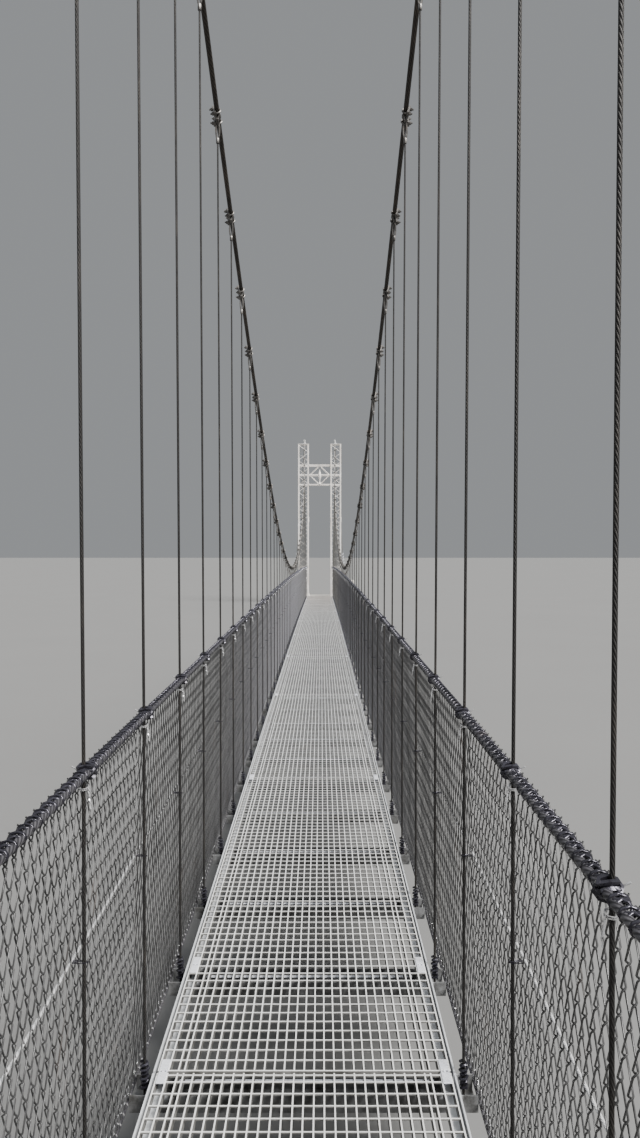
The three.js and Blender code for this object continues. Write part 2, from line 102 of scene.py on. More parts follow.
# Fence
MESH_TOP_X = 0.499
MESH_FOOT = -0.0537
MESH_WIRE_RADIUS = 0.0021
DIAMONDS_PER_BAY = 15
DIAMOND_WIDTH = BAY / DIAMONDS_PER_BAY
MESH_HALF_ROWS = 23
DIAMOND_HEIGHT = 2 * (HANDRAIL_HEIGHT - MESH_FOOT) / MESH_HALF_ROWS
MESH_LEAN = math.atan((BOTTOM_ROPE_X - MESH_TOP_X) / (HANDRAIL_HEIGHT - MESH_FOOT))
FINE_MESH_BAYS = 5

# Main rope line
TOWER_Y = 15.5
SADDLE_RISE = {-1: 6.9, 1: 5.9}
LOWEST_ROPE_RISE = 1.33
MAIN_ROPE_X = 0.488
SADDLE_X = 0.573
FLARE_POWER = 5
SADDLE_RADIUS = 0.22
SADDLE_HEIGHT = 0.18
ROPE_BEDDING = 0.0023
THROUGH_BOLT_RISE = 0.128
SADDLE_BASE = {"half_width": 0.065, "half_length": 0.185, "top": 0.016}
SEAT_HALF_WIDTH = 0.016
CHEEK = {"inner": 0.0155, "outer": 0.0255, "rise": 0.024}
RIB = {"out": 0.061, "top": 0.105, "half_depth": 0.005}
EYE_DROP = 0.118
NEAR_REACH = math.sqrt(SADDLE_RISE[-1] - LOWEST_ROPE_RISE)
FAR_REACH = math.sqrt(SADDLE_RISE[1] - LOWEST_ROPE_RISE)
LOWEST_ROPE_Y = -TOWER_Y + 2 * TOWER_Y * NEAR_REACH / (NEAR_REACH + FAR_REACH)
ROPE_CURVATURE = (NEAR_REACH / (LOWEST_ROPE_Y + TOWER_Y)) ** 2

# Towers and anchors
SEAT = 0.0003
MAST_X = 0.61
MAST_WIDTH = 0.4
LEG_SIZE = 0.048
LEG_PLATE = 0.006
BASE_PLATE = (0.46, 0.02)
TOP_PLATE = (0.41, 0.016)
LACING_RISE = 0.295
LACING_ROD = 0.009
LACING_REACH = 0.012
LACING_SPREAD = 0.008
LACING_END_GAP = 0.012
BAND = {"back": 0.012, "front": 0.006, "half_height": 0.02}
ROPE_PLATE = {"depth": 0.01, "half_height": 0.025}
STUD = {"x": 0.09, "out": 0.0145, "radius": 0.008, "length": 0.045}
GUSSET = {"width": 0.026, "height": 0.085, "back": 0.03, "front": 0.022}
SPLICE = {"inset": 0.004, "depth": 0.006, "half_height": 0.09, "nut_rises": (-0.06, -0.025, 0.025, 0.06)}
PORTAL_DROP = 0.96
PORTAL_DEPTH = 0.77
PORTAL_CHORD = 0.04
PORTAL_PLATE = {"depth": 0.008, "half_width": 0.038}
FOUNDATION = {"half_width": 1.15, "ledge_start": 15.14, "upstand": 15.248, "end": 16.35}
LEDGE_LEVEL = 0.2114
ANCHOR = {"x": 1.05, "y": 19.35, "width": 0.8, "length": 0.9, "height": 0.75}
ANCHOR_PLATE = (0.32, 0.02)
PLATE_BOLT = 0.125
PIN_HEIGHT = 0.09
ROD_LENGTH = 0.6
ROPE_END = ROD_LENGTH - 0.03
GRIP_START = 0.19
GRIP_SPACING = 0.15
GRIP_COUNT = 4


# Lines of the bridge

def joint_y(index):
    return -DECK_HALF_LENGTH + index * PANEL_LENGTH


def joint_level(index):
    return DECK_END_LEVEL + CAMBER * (1 - (joint_y(index) / DECK_HALF_LENGTH) ** 2)


def deck_level(y):
    place = min(max((y + DECK_HALF_LENGTH) / PANEL_LENGTH, 0), PANEL_COUNT)
    index = min(int(place), PANEL_COUNT - 1)
    share = place - index
    return joint_level(index) * (1 - share) + joint_level(index + 1) * share


def deck_slope(y):
    return (deck_level(y + BAY / 2) - deck_level(y - BAY / 2)) / BAY


def hanger_y(index):
    return -DECK_HALF_LENGTH + (index + 1) * BAY


def mesh_x(height):
    return BOTTOM_ROPE_X - (height - MESH_FOOT) * math.tan(MESH_LEAN)


def main_rope_point(side, y):
    flare = (SADDLE_X - MAIN_ROPE_X) * abs(y / TOWER_Y) ** FLARE_POWER
    rise = LOWEST_ROPE_RISE + ROPE_CURVATURE * (y - LOWEST_ROPE_Y) ** 2
    return np.array([side * (MAIN_ROPE_X + flare), y, DECK_END_LEVEL + rise])


def hanger_point(side, index, share):
    y = hanger_y(index)
    foot = np.array([side * HANGER_FOOT_X, y, deck_level(y) + HANGER_FOOT_HEIGHT])
    return foot + (main_rope_point(side, y) - foot) * share


def hanger_line(side, index):
    """A hanger from its foot, past the outer side of the handrail, to its eye."""
    y = hanger_y(index)
    tie = np.array([side * HANGER_RAIL_X, y, deck_level(y) + HANDRAIL_HEIGHT])
    return [hanger_point(side, index, 0), tie, hanger_point(side, index, 1) - np.array([0, 0, EYE_DROP])]


def hanger_x(side, index, height):
    """X of a hanger's centre at a height over the deck, up to the handrail."""
    foot = hanger_point(side, index, 0)
    share = (height - HANGER_FOOT_HEIGHT) / (HANDRAIL_HEIGHT - HANGER_FOOT_HEIGHT)
    return foot[0] + (side * HANGER_RAIL_X - foot[0]) * share


def anchor_pin(side, end):
    level = ANCHOR["height"] + SEAT + ANCHOR_PLATE[1] + PIN_HEIGHT
    return np.array([side * ANCHOR["x"], end * ANCHOR["y"], level])


def leaving_angle(run, drop):
    """How far round its saddle a rope lies before it runs straight to a point below."""
    return math.atan2(drop, run) + math.asin(SADDLE_RADIUS / math.hypot(run, drop))


def saddle_line(side, end, steps):
    """The main rope over one saddle, from the bridge side to the land side."""
    centre = DECK_END_LEVEL + SADDLE_RISE[end] - SADDLE_RADIUS
    radius = SADDLE_RADIUS - ROPE_BEDDING
    first_clamp = main_rope_point(side, end * (DECK_HALF_LENGTH - BAY))
    inner = leaving_angle(TOWER_Y - abs(first_clamp[1]), centre - first_clamp[2])
    outer = leaving_angle(ANCHOR["y"] - TOWER_Y, centre - anchor_pin(side, end)[2])
    angles = np.linspace(-inner, outer, steps + 1)
    return [
        np.array([
            side * SADDLE_X,
            end * (TOWER_Y + radius * math.sin(angle)),
            centre + radius * math.cos(angle),
        ])
        for angle in angles
    ]


def stay_point(side, end, distance):
    """A point on the backstay at a distance from its anchor pin."""
    pin = anchor_pin(side, end)
    along = saddle_line(side, end, 1)[-1] - pin
    return pin + along / np.linalg.norm(along) * distance


def deck_line(x, height, end_y):
    """A line that follows the deck at one height, knotted at its joints."""
    ys = [-end_y, *(joint_y(index) for index in range(PANEL_COUNT + 1)), end_y]
    return [np.array([x, y, deck_level(y) + height]) for y in ys]


# Node graphs

class Value:
    """One output of a node. Sums on it add Math nodes to its graph."""

    def __init__(self, graph, socket):
        self.graph = graph
        self.socket = socket

    def maths(self, operation, *values):
        return self.graph.add("ShaderNodeMath", {"operation": operation}, dict(enumerate(values)))

    def __add__(self, other):
        return self.maths("ADD", self, other)

    def __sub__(self, other):
        return self.maths("SUBTRACT", self, other)

    def __mul__(self, other):
        return self.maths("MULTIPLY", self, other)

    def __truediv__(self, other):
        return self.maths("DIVIDE", self, other)

    def __mod__(self, other):
        return self.maths("FLOORED_MODULO", self, other)

    def __rsub__(self, other):
        return self.maths("SUBTRACT", other, self)

    __radd__ = __add__

    def sine(self):
        return self.maths("SINE", self)

    def cosine(self):
        return self.maths("COSINE", self)

    def floor(self):
        return self.maths("FLOOR", self)

    def clipped(self):
        return self.maths("MINIMUM", self.maths("MAXIMUM", self, 0.0), 1.0)

    def band(self, low, high):
        """0 below low, 1 above high, straight in between."""
        return ((self - low) / (high - low)).clipped()


class Graph:
    """Adds nodes to one tree."""

    def __init__(self, tree):
        self.tree = tree

    def feed(self, socket, value):
        if isinstance(value, Value):
            self.tree.links.new(value.socket, socket)
        else:
            socket.default_value = value

    def add(self, kind, settings=None, inputs=None, output=0):
        node = self.tree.nodes.new(kind)
        for name, value in (settings or {}).items():
            setattr(node, name, value)
        for name, value in (inputs or {}).items():
            self.feed(node.inputs[name], value)
        return Value(self, node.outputs[output]) if len(node.outputs) else None

    def split(self, vector):
        whole = self.add("ShaderNodeSeparateXYZ", inputs={0: vector})
        return [Value(self, socket) for socket in whole.socket.node.outputs]

    def join(self, x, y, z):
        return self.add("ShaderNodeCombineXYZ", inputs={0: x, 1: y, 2: z})

    def mix(self, share, first, second):
        """Colour mix: first where share is 0, second where it is 1."""
        return self.add("ShaderNodeMix", {"data_type": "RGBA"}, {0: share, 6: first, 7: second}, 2)

    def noise(self, place, scale, detail=3.0, roughness=0.55):
        return self.add("ShaderNodeTexNoise", inputs={
            "Vector": place, "Scale": scale, "Detail": detail, "Roughness": roughness,
        })

    def crystals(self, place, scale):
        """A random grey for each cell."""
        cells = self.add("ShaderNodeTexVoronoi", inputs={"Vector": place, "Scale": scale}, output="Color")
        return self.split(cells)[0]

    def stretched(self, place, scale):
        return self.add("ShaderNodeVectorMath", {"operation": "MULTIPLY"}, {0: place, 1: scale})

    def bump(self, height, distance, strength):
        inputs = {"Height": height, "Distance": distance, "Strength": strength}
        return self.add("ShaderNodeBump", inputs=inputs)

    def attribute(self, name, output="Fac"):
        return self.add("ShaderNodeAttribute", {"attribute_name": name}, output=output)

    def stored(self, geometry, kind, name, value):
        """The geometry with a named attribute on its points."""
        return self.add("GeometryNodeStoreNamedAttribute", {"data_type": kind, "domain": "POINT"},
                        {"Geometry": geometry, "Name": name, "Value": value})

    def named(self, kind, name):
        return self.add("GeometryNodeInputNamedAttribute", {"data_type": kind}, {"Name": name})

    def curve(self, mesh):
        return self.add("GeometryNodeMeshToCurve", inputs={"Mesh": mesh})

    def spaced(self, line, count):
        """A curve with its points at even distances."""
        return self.add("GeometryNodeResampleCurve", {"mode": "COUNT"}, {"Curve": line, "Count": count})

    def moved(self, geometry, **where):
        return self.add("GeometryNodeSetPosition", inputs={"Geometry": geometry, **where})

    def ring(self, given):
        return self.add("GeometryNodeCurvePrimitiveCircle", {"mode": "RADIUS"},
                        {"Resolution": given["Sides"], "Radius": given["Wire Radius"]})

    def swept(self, line, ring):
        return self.add("GeometryNodeCurveToMesh",
                        inputs={"Curve": line, "Profile Curve": ring, "Fill Caps": True})

    def copies(self, points, shape, **turn):
        inputs = {"Points": points, "Instance": shape, **turn}
        return self.add("GeometryNodeInstanceOnPoints", inputs=inputs)


def rgb(red, green, blue):
    return (red, green, blue, 1.0)


# Finishes

def finish(name, paint):
    """A material whose paint function returns the inputs of its Principled shader."""
    material = bpy.data.materials.new(name)
    material.use_nodes = True
    material.node_tree.nodes.clear()
    graph = Graph(material.node_tree)
    place = graph.add("ShaderNodeTexCoord", output="Object")
    shader = graph.add("ShaderNodeBsdfPrincipled", inputs=paint(graph, place))
    graph.add("ShaderNodeOutputMaterial", inputs={"Surface": shader})
    return material


def zinc(bright, dull, grime_and_painted_shade, metal, sheen):
    """Galvanised steel: spangle, weathering patches and a little grime."""
    def paint(graph, place):
        patches = graph.noise(place, 2.3, 5.0).band(0.36, 0.66)
        spangle = graph.crystals(place, 75.0)
        fine = graph.noise(place, 160.0, 2.0)
        tone = (patches * 0.5 + spangle * 0.3 + fine * 0.2).clipped()
        clean = graph.mix(tone, dull, bright)
        dirt = graph.noise(place, 9.0, 6.0, 0.7).band(0.56, 0.74) * 0.55
        return {
            "Base Color": graph.mix(dirt, clean, grime_and_painted_shade),
            "Metallic": metal,
            "Roughness": sheen + spangle * 0.12 + dirt * 0.3,
            "Normal": graph.bump(fine * 0.6 + spangle * 0.4, 0.0006, 0.35),
        }
    return paint


def deck_zinc(graph, place):
    """The grating's zinc: painted shade that darkens the bars down in the cells, creamy at the near end,
    stained towards the far one.
    """
    steel = zinc(rgb(0.93, 0.935, 0.94), rgb(0.78, 0.79, 0.80), rgb(0.40, 0.36, 0.29), 0.15, 0.32)
    inputs = steel(graph, place)
    _, y, _ = graph.split(place)
    creamy = (1 - y.band(-13.5, -8.0)) * 0.35
    stained = y.band(4.0, 14.0) * 0.5
    tone = graph.mix(creamy, inputs["Base Color"], rgb(0.90, 0.87, 0.78))
    tone = graph.mix(stained, tone, rgb(0.74, 0.64, 0.56))
    # Painted shade: below their tops the bars darken towards near black, down in the cells.
    patchy = 0.76 + graph.noise(place, 20.0, 4.0).band(0.35, 0.65) * 0.2
    grime_and_painted_shade = graph.attribute("depth").band(0.008, 0.055) * patchy
    inputs["Base Color"] = graph.mix(grime_and_painted_shade, tone, rgb(0.055, 0.053, 0.047))
    inputs["Roughness"] = inputs["Roughness"] + grime_and_painted_shade * 0.4
    return inputs


def frame_zinc(graph, place):
    """The frame's zinc, painted near black as shade below the crossbeams' tops under the grating, and
    darkened on the crossbeam ends outside the deck.
    """
    steel = zinc(rgb(0.88, 0.90, 0.93), rgb(0.66, 0.68, 0.70), rgb(0.22, 0.20, 0.16), 0.35, 0.34)
    inputs = steel(graph, place)
    x, y, z = graph.split(place)
    off_middle = x.maths("ABSOLUTE", x)
    outside = off_middle.band(0.460, 0.474)
    camber = y * y * (CAMBER / DECK_HALF_LENGTH ** 2)
    drop = DECK_END_LEVEL + CAMBER - camber - z
    inside = 1 - off_middle.band(0.400, 0.415)
    # Painted shade below the crossbeams' tops, where they lie under the grating; the ends outside the deck
    # are darkened as well.
    painted_shade_below_beam_tops = x.maths("MAXIMUM", drop.band(0.036, 0.050), drop.band(0.033, 0.037) * inside)
    painted_shade_and_dark_ends = x.maths("MAXIMUM", outside, painted_shade_below_beam_tops)
    grime_and_painted_shade = painted_shade_and_dark_ends * (0.75 + graph.noise(place, 14.0, 5.0, 0.7).band(0.4, 0.7) * 0.25)
    inputs["Base Color"] = graph.mix(grime_and_painted_shade, inputs["Base Color"], rgb(0.035, 0.033, 0.030))
    inputs["Roughness"] = inputs["Roughness"] + grime_and_painted_shade * 0.3
    return inputs


def wire_rope(crown, painted_groove_shade, worn, lay, metal, sheen, painted_far_light=None, painted_far_light_share=0.0):
    """Laid strands that wind round the rope, from its own around and along attributes.

    Towards the far end a paler tone is painted onto the strand crowns as sunlight, and the grooves between
    strands get painted shade.
    """
    def paint(graph, place):
        along = graph.attribute("along")
        x, y, _ = graph.split(graph.attribute("around", "Vector"))
        angle = y.maths("ARCTAN2", y, x)
        strand = (angle * STRANDS + along * (TURN * STRANDS / lay)).sine() * 0.5 + 0.5
        wires = (angle * (STRANDS * 4) - along * (TURN * STRANDS * 3 / lay)).sine() * 0.5 + 0.5
        height = strand.band(0.0, 0.8) * 0.8 + wires * 0.2
        wear = graph.noise(place, 5.0, 5.0, 0.65).band(0.5, 0.72) * strand * 0.8
        # The grooves between strands take a darker colour, painted shade; noise picks out worn crowns.
        tone = graph.mix(wear, graph.mix(height, painted_groove_shade, crown), worn)
        # Painted sunlight: towards the far end the strand crowns turn paler.
        if painted_far_light:
            _, far, _ = graph.split(place)
            tone = graph.mix(far.band(0.5, 8.0) * painted_far_light_share * height, tone, painted_far_light)
        return {
            "Base Color": tone,
            "Metallic": metal,
            "Roughness": sheen + (1 - wear) * 0.15,
            "Normal": graph.bump(height, 0.0012, 0.9),
        }
    return paint


def drawn_wire(dark, light, rust, metal, sheen, painted_far_light=None):
    """Weathered galvanised wire, dull with brighter and rusty lengths, and painted paler and bluer towards
    the far end as reflected sky light.
    """
    def paint(graph, place):
        tone = graph.noise(place, 6.0, 5.0, 0.7).band(0.34, 0.68)
        fine = graph.noise(place, 220.0, 2.0)
        weathered = graph.mix((tone * 0.7 + fine * 0.3).clipped(), dark, light)
        stain = graph.noise(graph.stretched(place, (1.0, 1.0, 0.5)), 3.1, 6.0, 0.7).band(0.6, 0.78)
        tone = graph.mix(stain * 0.6, weathered, rust)
        # Painted reflection: the wire turns to a paler, bluer tone towards the far end, as if catching the
        # sky.
        if painted_far_light:
            _, far, _ = graph.split(place)
            tone = graph.mix(far.band(-11.0, 3.0) * 0.85, tone, painted_far_light)
        return {
            "Base Color": tone,
            "Metallic": metal,
            "Roughness": sheen + stain * 0.25,
            "Normal": graph.bump(fine, 0.0004, 0.4),
        }
    return paint


def mast_coat(graph, place):
    """Old off-white coating with chalky patches, grey dirt and rust that runs down."""
    chalk = graph.noise(place, 4.0, 5.0).band(0.35, 0.7)
    coat = graph.mix(chalk, rgb(0.70, 0.67, 0.63), rgb(0.90, 0.88, 0.85))
    dirt = graph.noise(graph.stretched(place, (1.0, 1.0, 0.35)), 7.0, 6.0, 0.7).band(0.50, 0.72)
    coat = graph.mix(dirt * 0.45, coat, rgb(0.42, 0.39, 0.35))
    runs = graph.noise(graph.stretched(place, (22.0, 22.0, 1.6)), 1.0, 5.0, 0.65).band(0.52, 0.70)
    specks = graph.noise(place, 38.0, 4.0, 0.7).band(0.56, 0.70)
    rust = (runs * 0.40 + specks * runs * 0.6 + specks * dirt * 0.5).clipped()
    return {
        "Base Color": graph.mix(rust, coat, rgb(0.42, 0.24, 0.15)),
        "Metallic": 0.05,
        "Roughness": 0.45 + rust * 0.35,
        "Normal": graph.bump(chalk * 0.3 + specks, 0.0008, 0.4),
    }


def weathered_concrete(graph, place):
    """Board-marked concrete with pores, stains and a damp foot."""
    _, _, z = graph.split(place)
    cloud = graph.noise(place, 2.2, 6.0, 0.6).band(0.3, 0.7)
    grit = graph.noise(place, 90.0, 3.0, 0.6)
    pores = graph.add("ShaderNodeTexVoronoi", inputs={"Vector": place, "Scale": 55.0}, output="Distance")
    pores = 1 - pores.band(0.08, 0.2)
    board = (z / 0.15) % 1.0
    seam = 1 - board.band(0.0, 0.035)
    grain = graph.noise(graph.stretched(place, (1.0, 1.0, 16.0)), 4.0, 4.0)
    runs = graph.noise(graph.stretched(place, (9.0, 9.0, 0.9)), 1.0, 5.0, 0.65).band(0.52, 0.78)
    damp = (1 - z.band(0.02, 0.22)) * graph.noise(place, 7.0, 4.0).band(0.3, 0.6)
    body = graph.mix(cloud, rgb(0.36, 0.345, 0.315), rgb(0.55, 0.535, 0.50))
    body = graph.mix(grit.band(0.35, 0.7) * 0.4, body, rgb(0.62, 0.60, 0.56))
    body = graph.mix(runs * 0.5, body, rgb(0.24, 0.225, 0.20))
    body = graph.mix(damp * 0.65, body, rgb(0.17, 0.165, 0.145))
    body = graph.mix((pores * 0.6 + seam * 0.5).clipped(), body, rgb(0.20, 0.19, 0.175))
    relief = grit * 0.3 + grain * 0.25 - pores * 0.5 - seam * 0.6
    return {
        "Base Color": body,
        "Metallic": 0.0,
        "Roughness": 0.93 - damp * 0.25,
        "Normal": graph.bump(relief, 0.004, 0.6),
    }


def pale_floor(graph, place):
    mottle = graph.noise(place, 0.4, 3.0)
    return {
        "Base Color": graph.mix(mottle, rgb(0.140, 0.140, 0.138), rgb(0.153, 0.153, 0.150)),
        "Roughness": 0.9,
    }


PAINTS = {
    "deck_steel": deck_zinc,
    "frame_steel": frame_zinc,
    "saddle_steel": zinc(rgb(0.74, 0.75, 0.76), rgb(0.52, 0.53, 0.53), rgb(0.26, 0.23, 0.18), 0.5, 0.36),
    "clip_zinc": zinc(rgb(0.90, 0.92, 0.97), rgb(0.78, 0.80, 0.86), rgb(0.42, 0.38, 0.33), 0.3, 0.24),
    "clamp_iron": zinc(rgb(0.20, 0.19, 0.18), rgb(0.035, 0.033, 0.031), rgb(0.13, 0.08, 0.05), 0.6, 0.34),
    # A rope's groove colour is painted shade between its strands; its last colour and share paint sunlight,
    # paler, onto the far half.
    "main_rope": wire_rope(
        rgb(0.042, 0.034, 0.028), rgb(0.008, 0.007, 0.006), rgb(0.13, 0.10, 0.07), 0.17, 0.4, 0.42,
        rgb(0.58, 0.56, 0.53), 0.85),
    "hanger_rope": wire_rope(
        rgb(0.024, 0.022, 0.021), rgb(0.005, 0.005, 0.005), rgb(0.075, 0.065, 0.055), 0.07, 0.4, 0.42,
        rgb(0.24, 0.235, 0.22), 0.6),
    "handrail_rope": wire_rope(
        rgb(0.11, 0.107, 0.118), rgb(0.014, 0.013, 0.015), rgb(0.22, 0.21, 0.22), 0.11, 0.5, 0.34,
        rgb(0.24, 0.24, 0.27), 0.5),
    "bright_rope": wire_rope(
        rgb(0.92, 0.925, 0.93), rgb(0.50, 0.50, 0.51), rgb(0.95, 0.95, 0.95), 0.045, 0.25, 0.3),
    # The lacing and mesh wires' last colour is painted reflected sky light towards the far end.
    "lacing_wire": drawn_wire(
        rgb(0.010, 0.010, 0.013), rgb(0.062, 0.059, 0.075), rgb(0.06, 0.045, 0.035), 0.6, 0.22,
        rgb(0.18, 0.18, 0.21)),
    "mesh_wire": drawn_wire(
        rgb(0.028, 0.028, 0.028), rgb(0.120, 0.120, 0.122), rgb(0.09, 0.065, 0.05), 0.45, 0.34,
        rgb(0.46, 0.46, 0.50)),
    "tie_wire": drawn_wire(
        rgb(0.46, 0.46, 0.47), rgb(0.86, 0.86, 0.87), rgb(0.34, 0.26, 0.20), 0.6, 0.24),
    "mast_coat": mast_coat,
    "weathered_concrete": weathered_concrete,
}
FINISHES = {name: finish(name, paint) for name, paint in PAINTS.items()}


# Meshes

SHARP_ANGLE = math.radians(38)
BEVELLED_ANGLE = math.radians(20)


def show(name, data):
    """Puts data into the scene as an object."""
    thing = bpy.data.objects.new(name, data)
    bpy.context.scene.collection.objects.link(thing)
    return thing


def axes_of(direction):
    """A unit vector along a direction and two more square to it, right-handed."""
    along = np.asarray(direction, float)
    along = along / np.linalg.norm(along)
    helper = (0.0, 0.0, 1.0) if abs(along[2]) < 0.9 else (1.0, 0.0, 0.0)
    side = np.cross(helper, along)
    side /= np.linalg.norm(side)
    return along, side, np.cross(along, side)


class Shape:
    """Collects closed solids for one mesh."""

    def __init__(self):
        self.points = []
        self.faces = []

    def add(self, points, faces, matrix=None):
        if matrix is not None:
            points = [matrix @ Vector(point) for point in points]
        start = len(self.points)
        self.points.extend(tuple(point) for point in points)
        self.faces.extend(tuple(start + index for index in face) for face in faces)

    def merge(self, other, matrix):
        self.add(other.points, other.faces, matrix)

    def block(self, low, high, chamfer=0.001):
        """A box with chamfered edges."""
        points = []
        for corner in np.ndindex(2, 2, 2):
            for axis in range(3):
                point = [
                    (low, high)[corner[n]][n] + (0 if n == axis else chamfer * (1 - 2 * corner[n]))
                    for n in range(3)
                ]
                points.append(point)

        def at(x, y, z, axis):
            return (x * 4 + y * 2 + z) * 3 + axis

        faces = []
        for end in (0, 1):
            square = [(0, 0), (1, 0), (1, 1), (0, 1)]
            for axis in range(3):
                ring = []
                for u, v in square:
                    corner = [0, 0, 0]
                    corner[axis] = end
                    corner[(axis + 1) % 3] = u
                    corner[(axis + 2) % 3] = v
                    ring.append(at(*corner, axis))
                faces.append(ring if end else ring[::-1])
        for axis in range(3):
            first, second = (axis + 1) % 3, (axis + 2) % 3
            for u in (0, 1):
                for v in (0, 1):
                    low_corner = [0, 0, 0]
                    low_corner[first] = u
                    low_corner[second] = v
                    high_corner = list(low_corner)
                    high_corner[axis] = 1
                    ring = [
                        at(*low_corner, first), at(*low_corner, second),
                        at(*high_corner, second), at(*high_corner, first),
                    ]
                    faces.append(ring[::-1] if u == v else ring)
        for corner in np.ndindex(2, 2, 2):
            ring = [at(*corner, axis) for axis in range(3)]
            faces.append(ring if sum(corner) % 2 else ring[::-1])
        self.add(points, faces)

    def skin(self, rings, closed=False):
        """A solid through rings of points, with flat ends unless it closes on itself."""
        count, sides = len(rings), len(rings[0])
        faces = []
        for ring in range(count if closed else count - 1):
            here = ring * sides
            there = (ring + 1) % count * sides
            for n in range(sides):
                after = (n + 1) % sides
                faces.append((here + n, here + after, there + after, there + n))
        if not closed:
            faces.append(tuple(range(sides))[::-1])
            faces.append(tuple((count - 1) * sides + n for n in range(sides)))
        self.add([point for ring in rings for point in ring], faces)

    def tube(self, path, radius, sides, closed=False):
        """A round bar along a path."""
        path = np.asarray(path, float)
        if closed:
            tangents = np.roll(path, -1, axis=0) - np.roll(path, 1, axis=0)
        else:
            tangents = np.gradient(path, axis=0)
        tangents /= np.linalg.norm(tangents, axis=1)[:, None]
        side = axes_of(tangents[0])[1]
        angles = np.arange(sides) * TURN / sides
        rings = []
        for centre, tangent in zip(path, tangents):
            side = side - tangent * (side @ tangent)
            side /= np.linalg.norm(side)
            rise = np.cross(tangent, side)
            rings.append([centre + radius * (math.cos(a) * side + math.sin(a) * rise) for a in angles])
        self.skin(rings, closed)

    def turned(self, stations, start, direction, sides):
        """A turned solid: each station is a distance along the direction and a radius."""
        along, side, rise = axes_of(direction)
        start = np.asarray(start, float)
        angles = [n * TURN / sides for n in range(sides)]
        spokes = [math.cos(angle) * side + math.sin(angle) * rise for angle in angles]
        self.skin([[start + along * distance + spoke * radius for spoke in spokes]
                   for distance, radius in stations])

    def rod(self, radius, length, start, direction, sides=8):
        self.turned([(0, radius), (length, radius)], start, direction, sides)

    def nut(self, start, direction, radius, height):
        edge = height * 0.15
        self.turned([(0, radius), (height - edge, radius), (height, radius * 0.86)], start, direction, 6)

    def bolt(self, foot, direction, radius, length):
        """A stud with a washer, a nut and a thread end over its foot."""
        washer = radius * 0.4
        self.rod(radius * 2.2, washer, foot, direction, 10)
        lift = np.asarray(foot, float) + np.asarray(direction, float) * washer
        self.nut(lift, direction, radius * 1.75, radius * 1.6)
        stud = [(0, radius), (length - radius * 0.3, radius), (length, radius * 0.7)]
        self.turned(stud, foot, direction, 8)

    def prism(self, outline, low, high, axis):
        """An outline given a length along an axis. Its pairs are on the two axes that follow in turn."""
        after = outline[1:] + outline[:1]
        area = sum(u * next_v - next_u * v for (u, v), (next_u, next_v) in zip(outline, after))
        if area < 0:
            outline = outline[::-1]
        self.skin([[np.roll((level, u, v), axis) for u, v in outline] for level in (low, high)])

    def placed(self, matrix):
        """The same shape at another place."""
        copy = Shape()
        copy.merge(self, matrix)
        return copy

    def build(self, name, material, bevel=0):
        mesh = bpy.data.meshes.new(name)
        mesh.from_pydata(self.points, [], self.faces)
        if bevel:
            solid = bmesh.new()
            solid.from_mesh(mesh)
            sharp = [edge for edge in solid.edges if edge.calc_face_angle(0) > BEVELLED_ANGLE]
            bmesh.ops.bevel(solid, geom=sharp, offset=bevel, segments=2, profile=0.5, affect="EDGES")
            solid.to_mesh(mesh)
            solid.free()
        mesh.polygons.foreach_set("use_smooth", [True] * len(mesh.polygons))
        mesh.set_sharp_from_angle(angle=SHARP_ANGLE)
        mesh.materials.append(FINISHES[material])
        return show(name, mesh)


def dress(piece, slot, *nodes):
    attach(piece, "root")
    if nodes:
        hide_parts(*nodes)
    return piece


def join_pieces(name, pieces):
    """Joins plain mesh objects into the first one."""
    with bpy.context.temp_override(active_object=pieces[0], selected_editable_objects=pieces):
        bpy.ops.object.join()
    pieces[0].name = name
    return pieces[0]


# Geometry Nodes

def node_group(name, **kinds):
    """A Geometry Nodes tree with named inputs of each kind. Returns its graph and its input values."""
    tree = bpy.data.node_groups.new(name, "GeometryNodeTree")
    tree.interface.new_socket("Geometry", in_out="INPUT", socket_type="NodeSocketGeometry")
    for kind, labels in {**kinds, "Material": ["Material"]}.items():
        for label in labels:
            tree.interface.new_socket(label, in_out="INPUT", socket_type="NodeSocket" + kind)
    tree.interface.new_socket("Geometry", in_out="OUTPUT", socket_type="NodeSocketGeometry")
    graph = Graph(tree)
    start = graph.add("NodeGroupInput")
    return graph, {socket.name: Value(graph, socket) for socket in start.socket.node.outputs if socket.name}


def end_group(graph, given, geometry, smooth=False):
    """Ends a tree: realized, shaded and given its material."""
    geometry = graph.add("GeometryNodeRealizeInstances", inputs={0: geometry})
    if smooth:
        geometry = graph.add("GeometryNodeSetShadeSmooth", inputs={"Geometry": geometry})
    geometry = graph.add("GeometryNodeSetMaterial",
                         inputs={"Geometry": geometry, "Material": given["Material"]})
    graph.add("NodeGroupOutput", inputs={"Geometry": geometry})
    return graph.tree


def run_group(name, tree, guide, material, values):
    """Evaluates a tree on a guide mesh and keeps the result as a plain object."""
    values = {**values, "Material": FINISHES[material]}
    source = show(name + "_guide", guide)
    modifier = source.modifiers.new(tree.name, "NODES")
    modifier.node_group = tree
    for item in tree.interface.items_tree:
        if item.in_out == "INPUT" and item.name in values:
            modifier[item.identifier] = values[item.name]
    depsgraph = bpy.context.evaluated_depsgraph_get()
    made = source.evaluated_get(depsgraph)
    mesh = bpy.data.meshes.new_from_object(made, preserve_all_data_layers=True, depsgraph=depsgraph)
    source.modifiers.remove(modifier)
    bpy.data.objects.remove(source)
    mesh.name = name
    return show(name, mesh)


def line_guide(name, lines):
    """A mesh of open polylines."""
    points, edges = [], []
    for line in lines:
        start = len(points)
        points.extend(tuple(point) for point in line)
        edges.extend((start + n, start + n + 1) for n in range(len(line) - 1))
    mesh = bpy.data.meshes.new(name)
    mesh.from_pydata(points, edges, [])
    return mesh


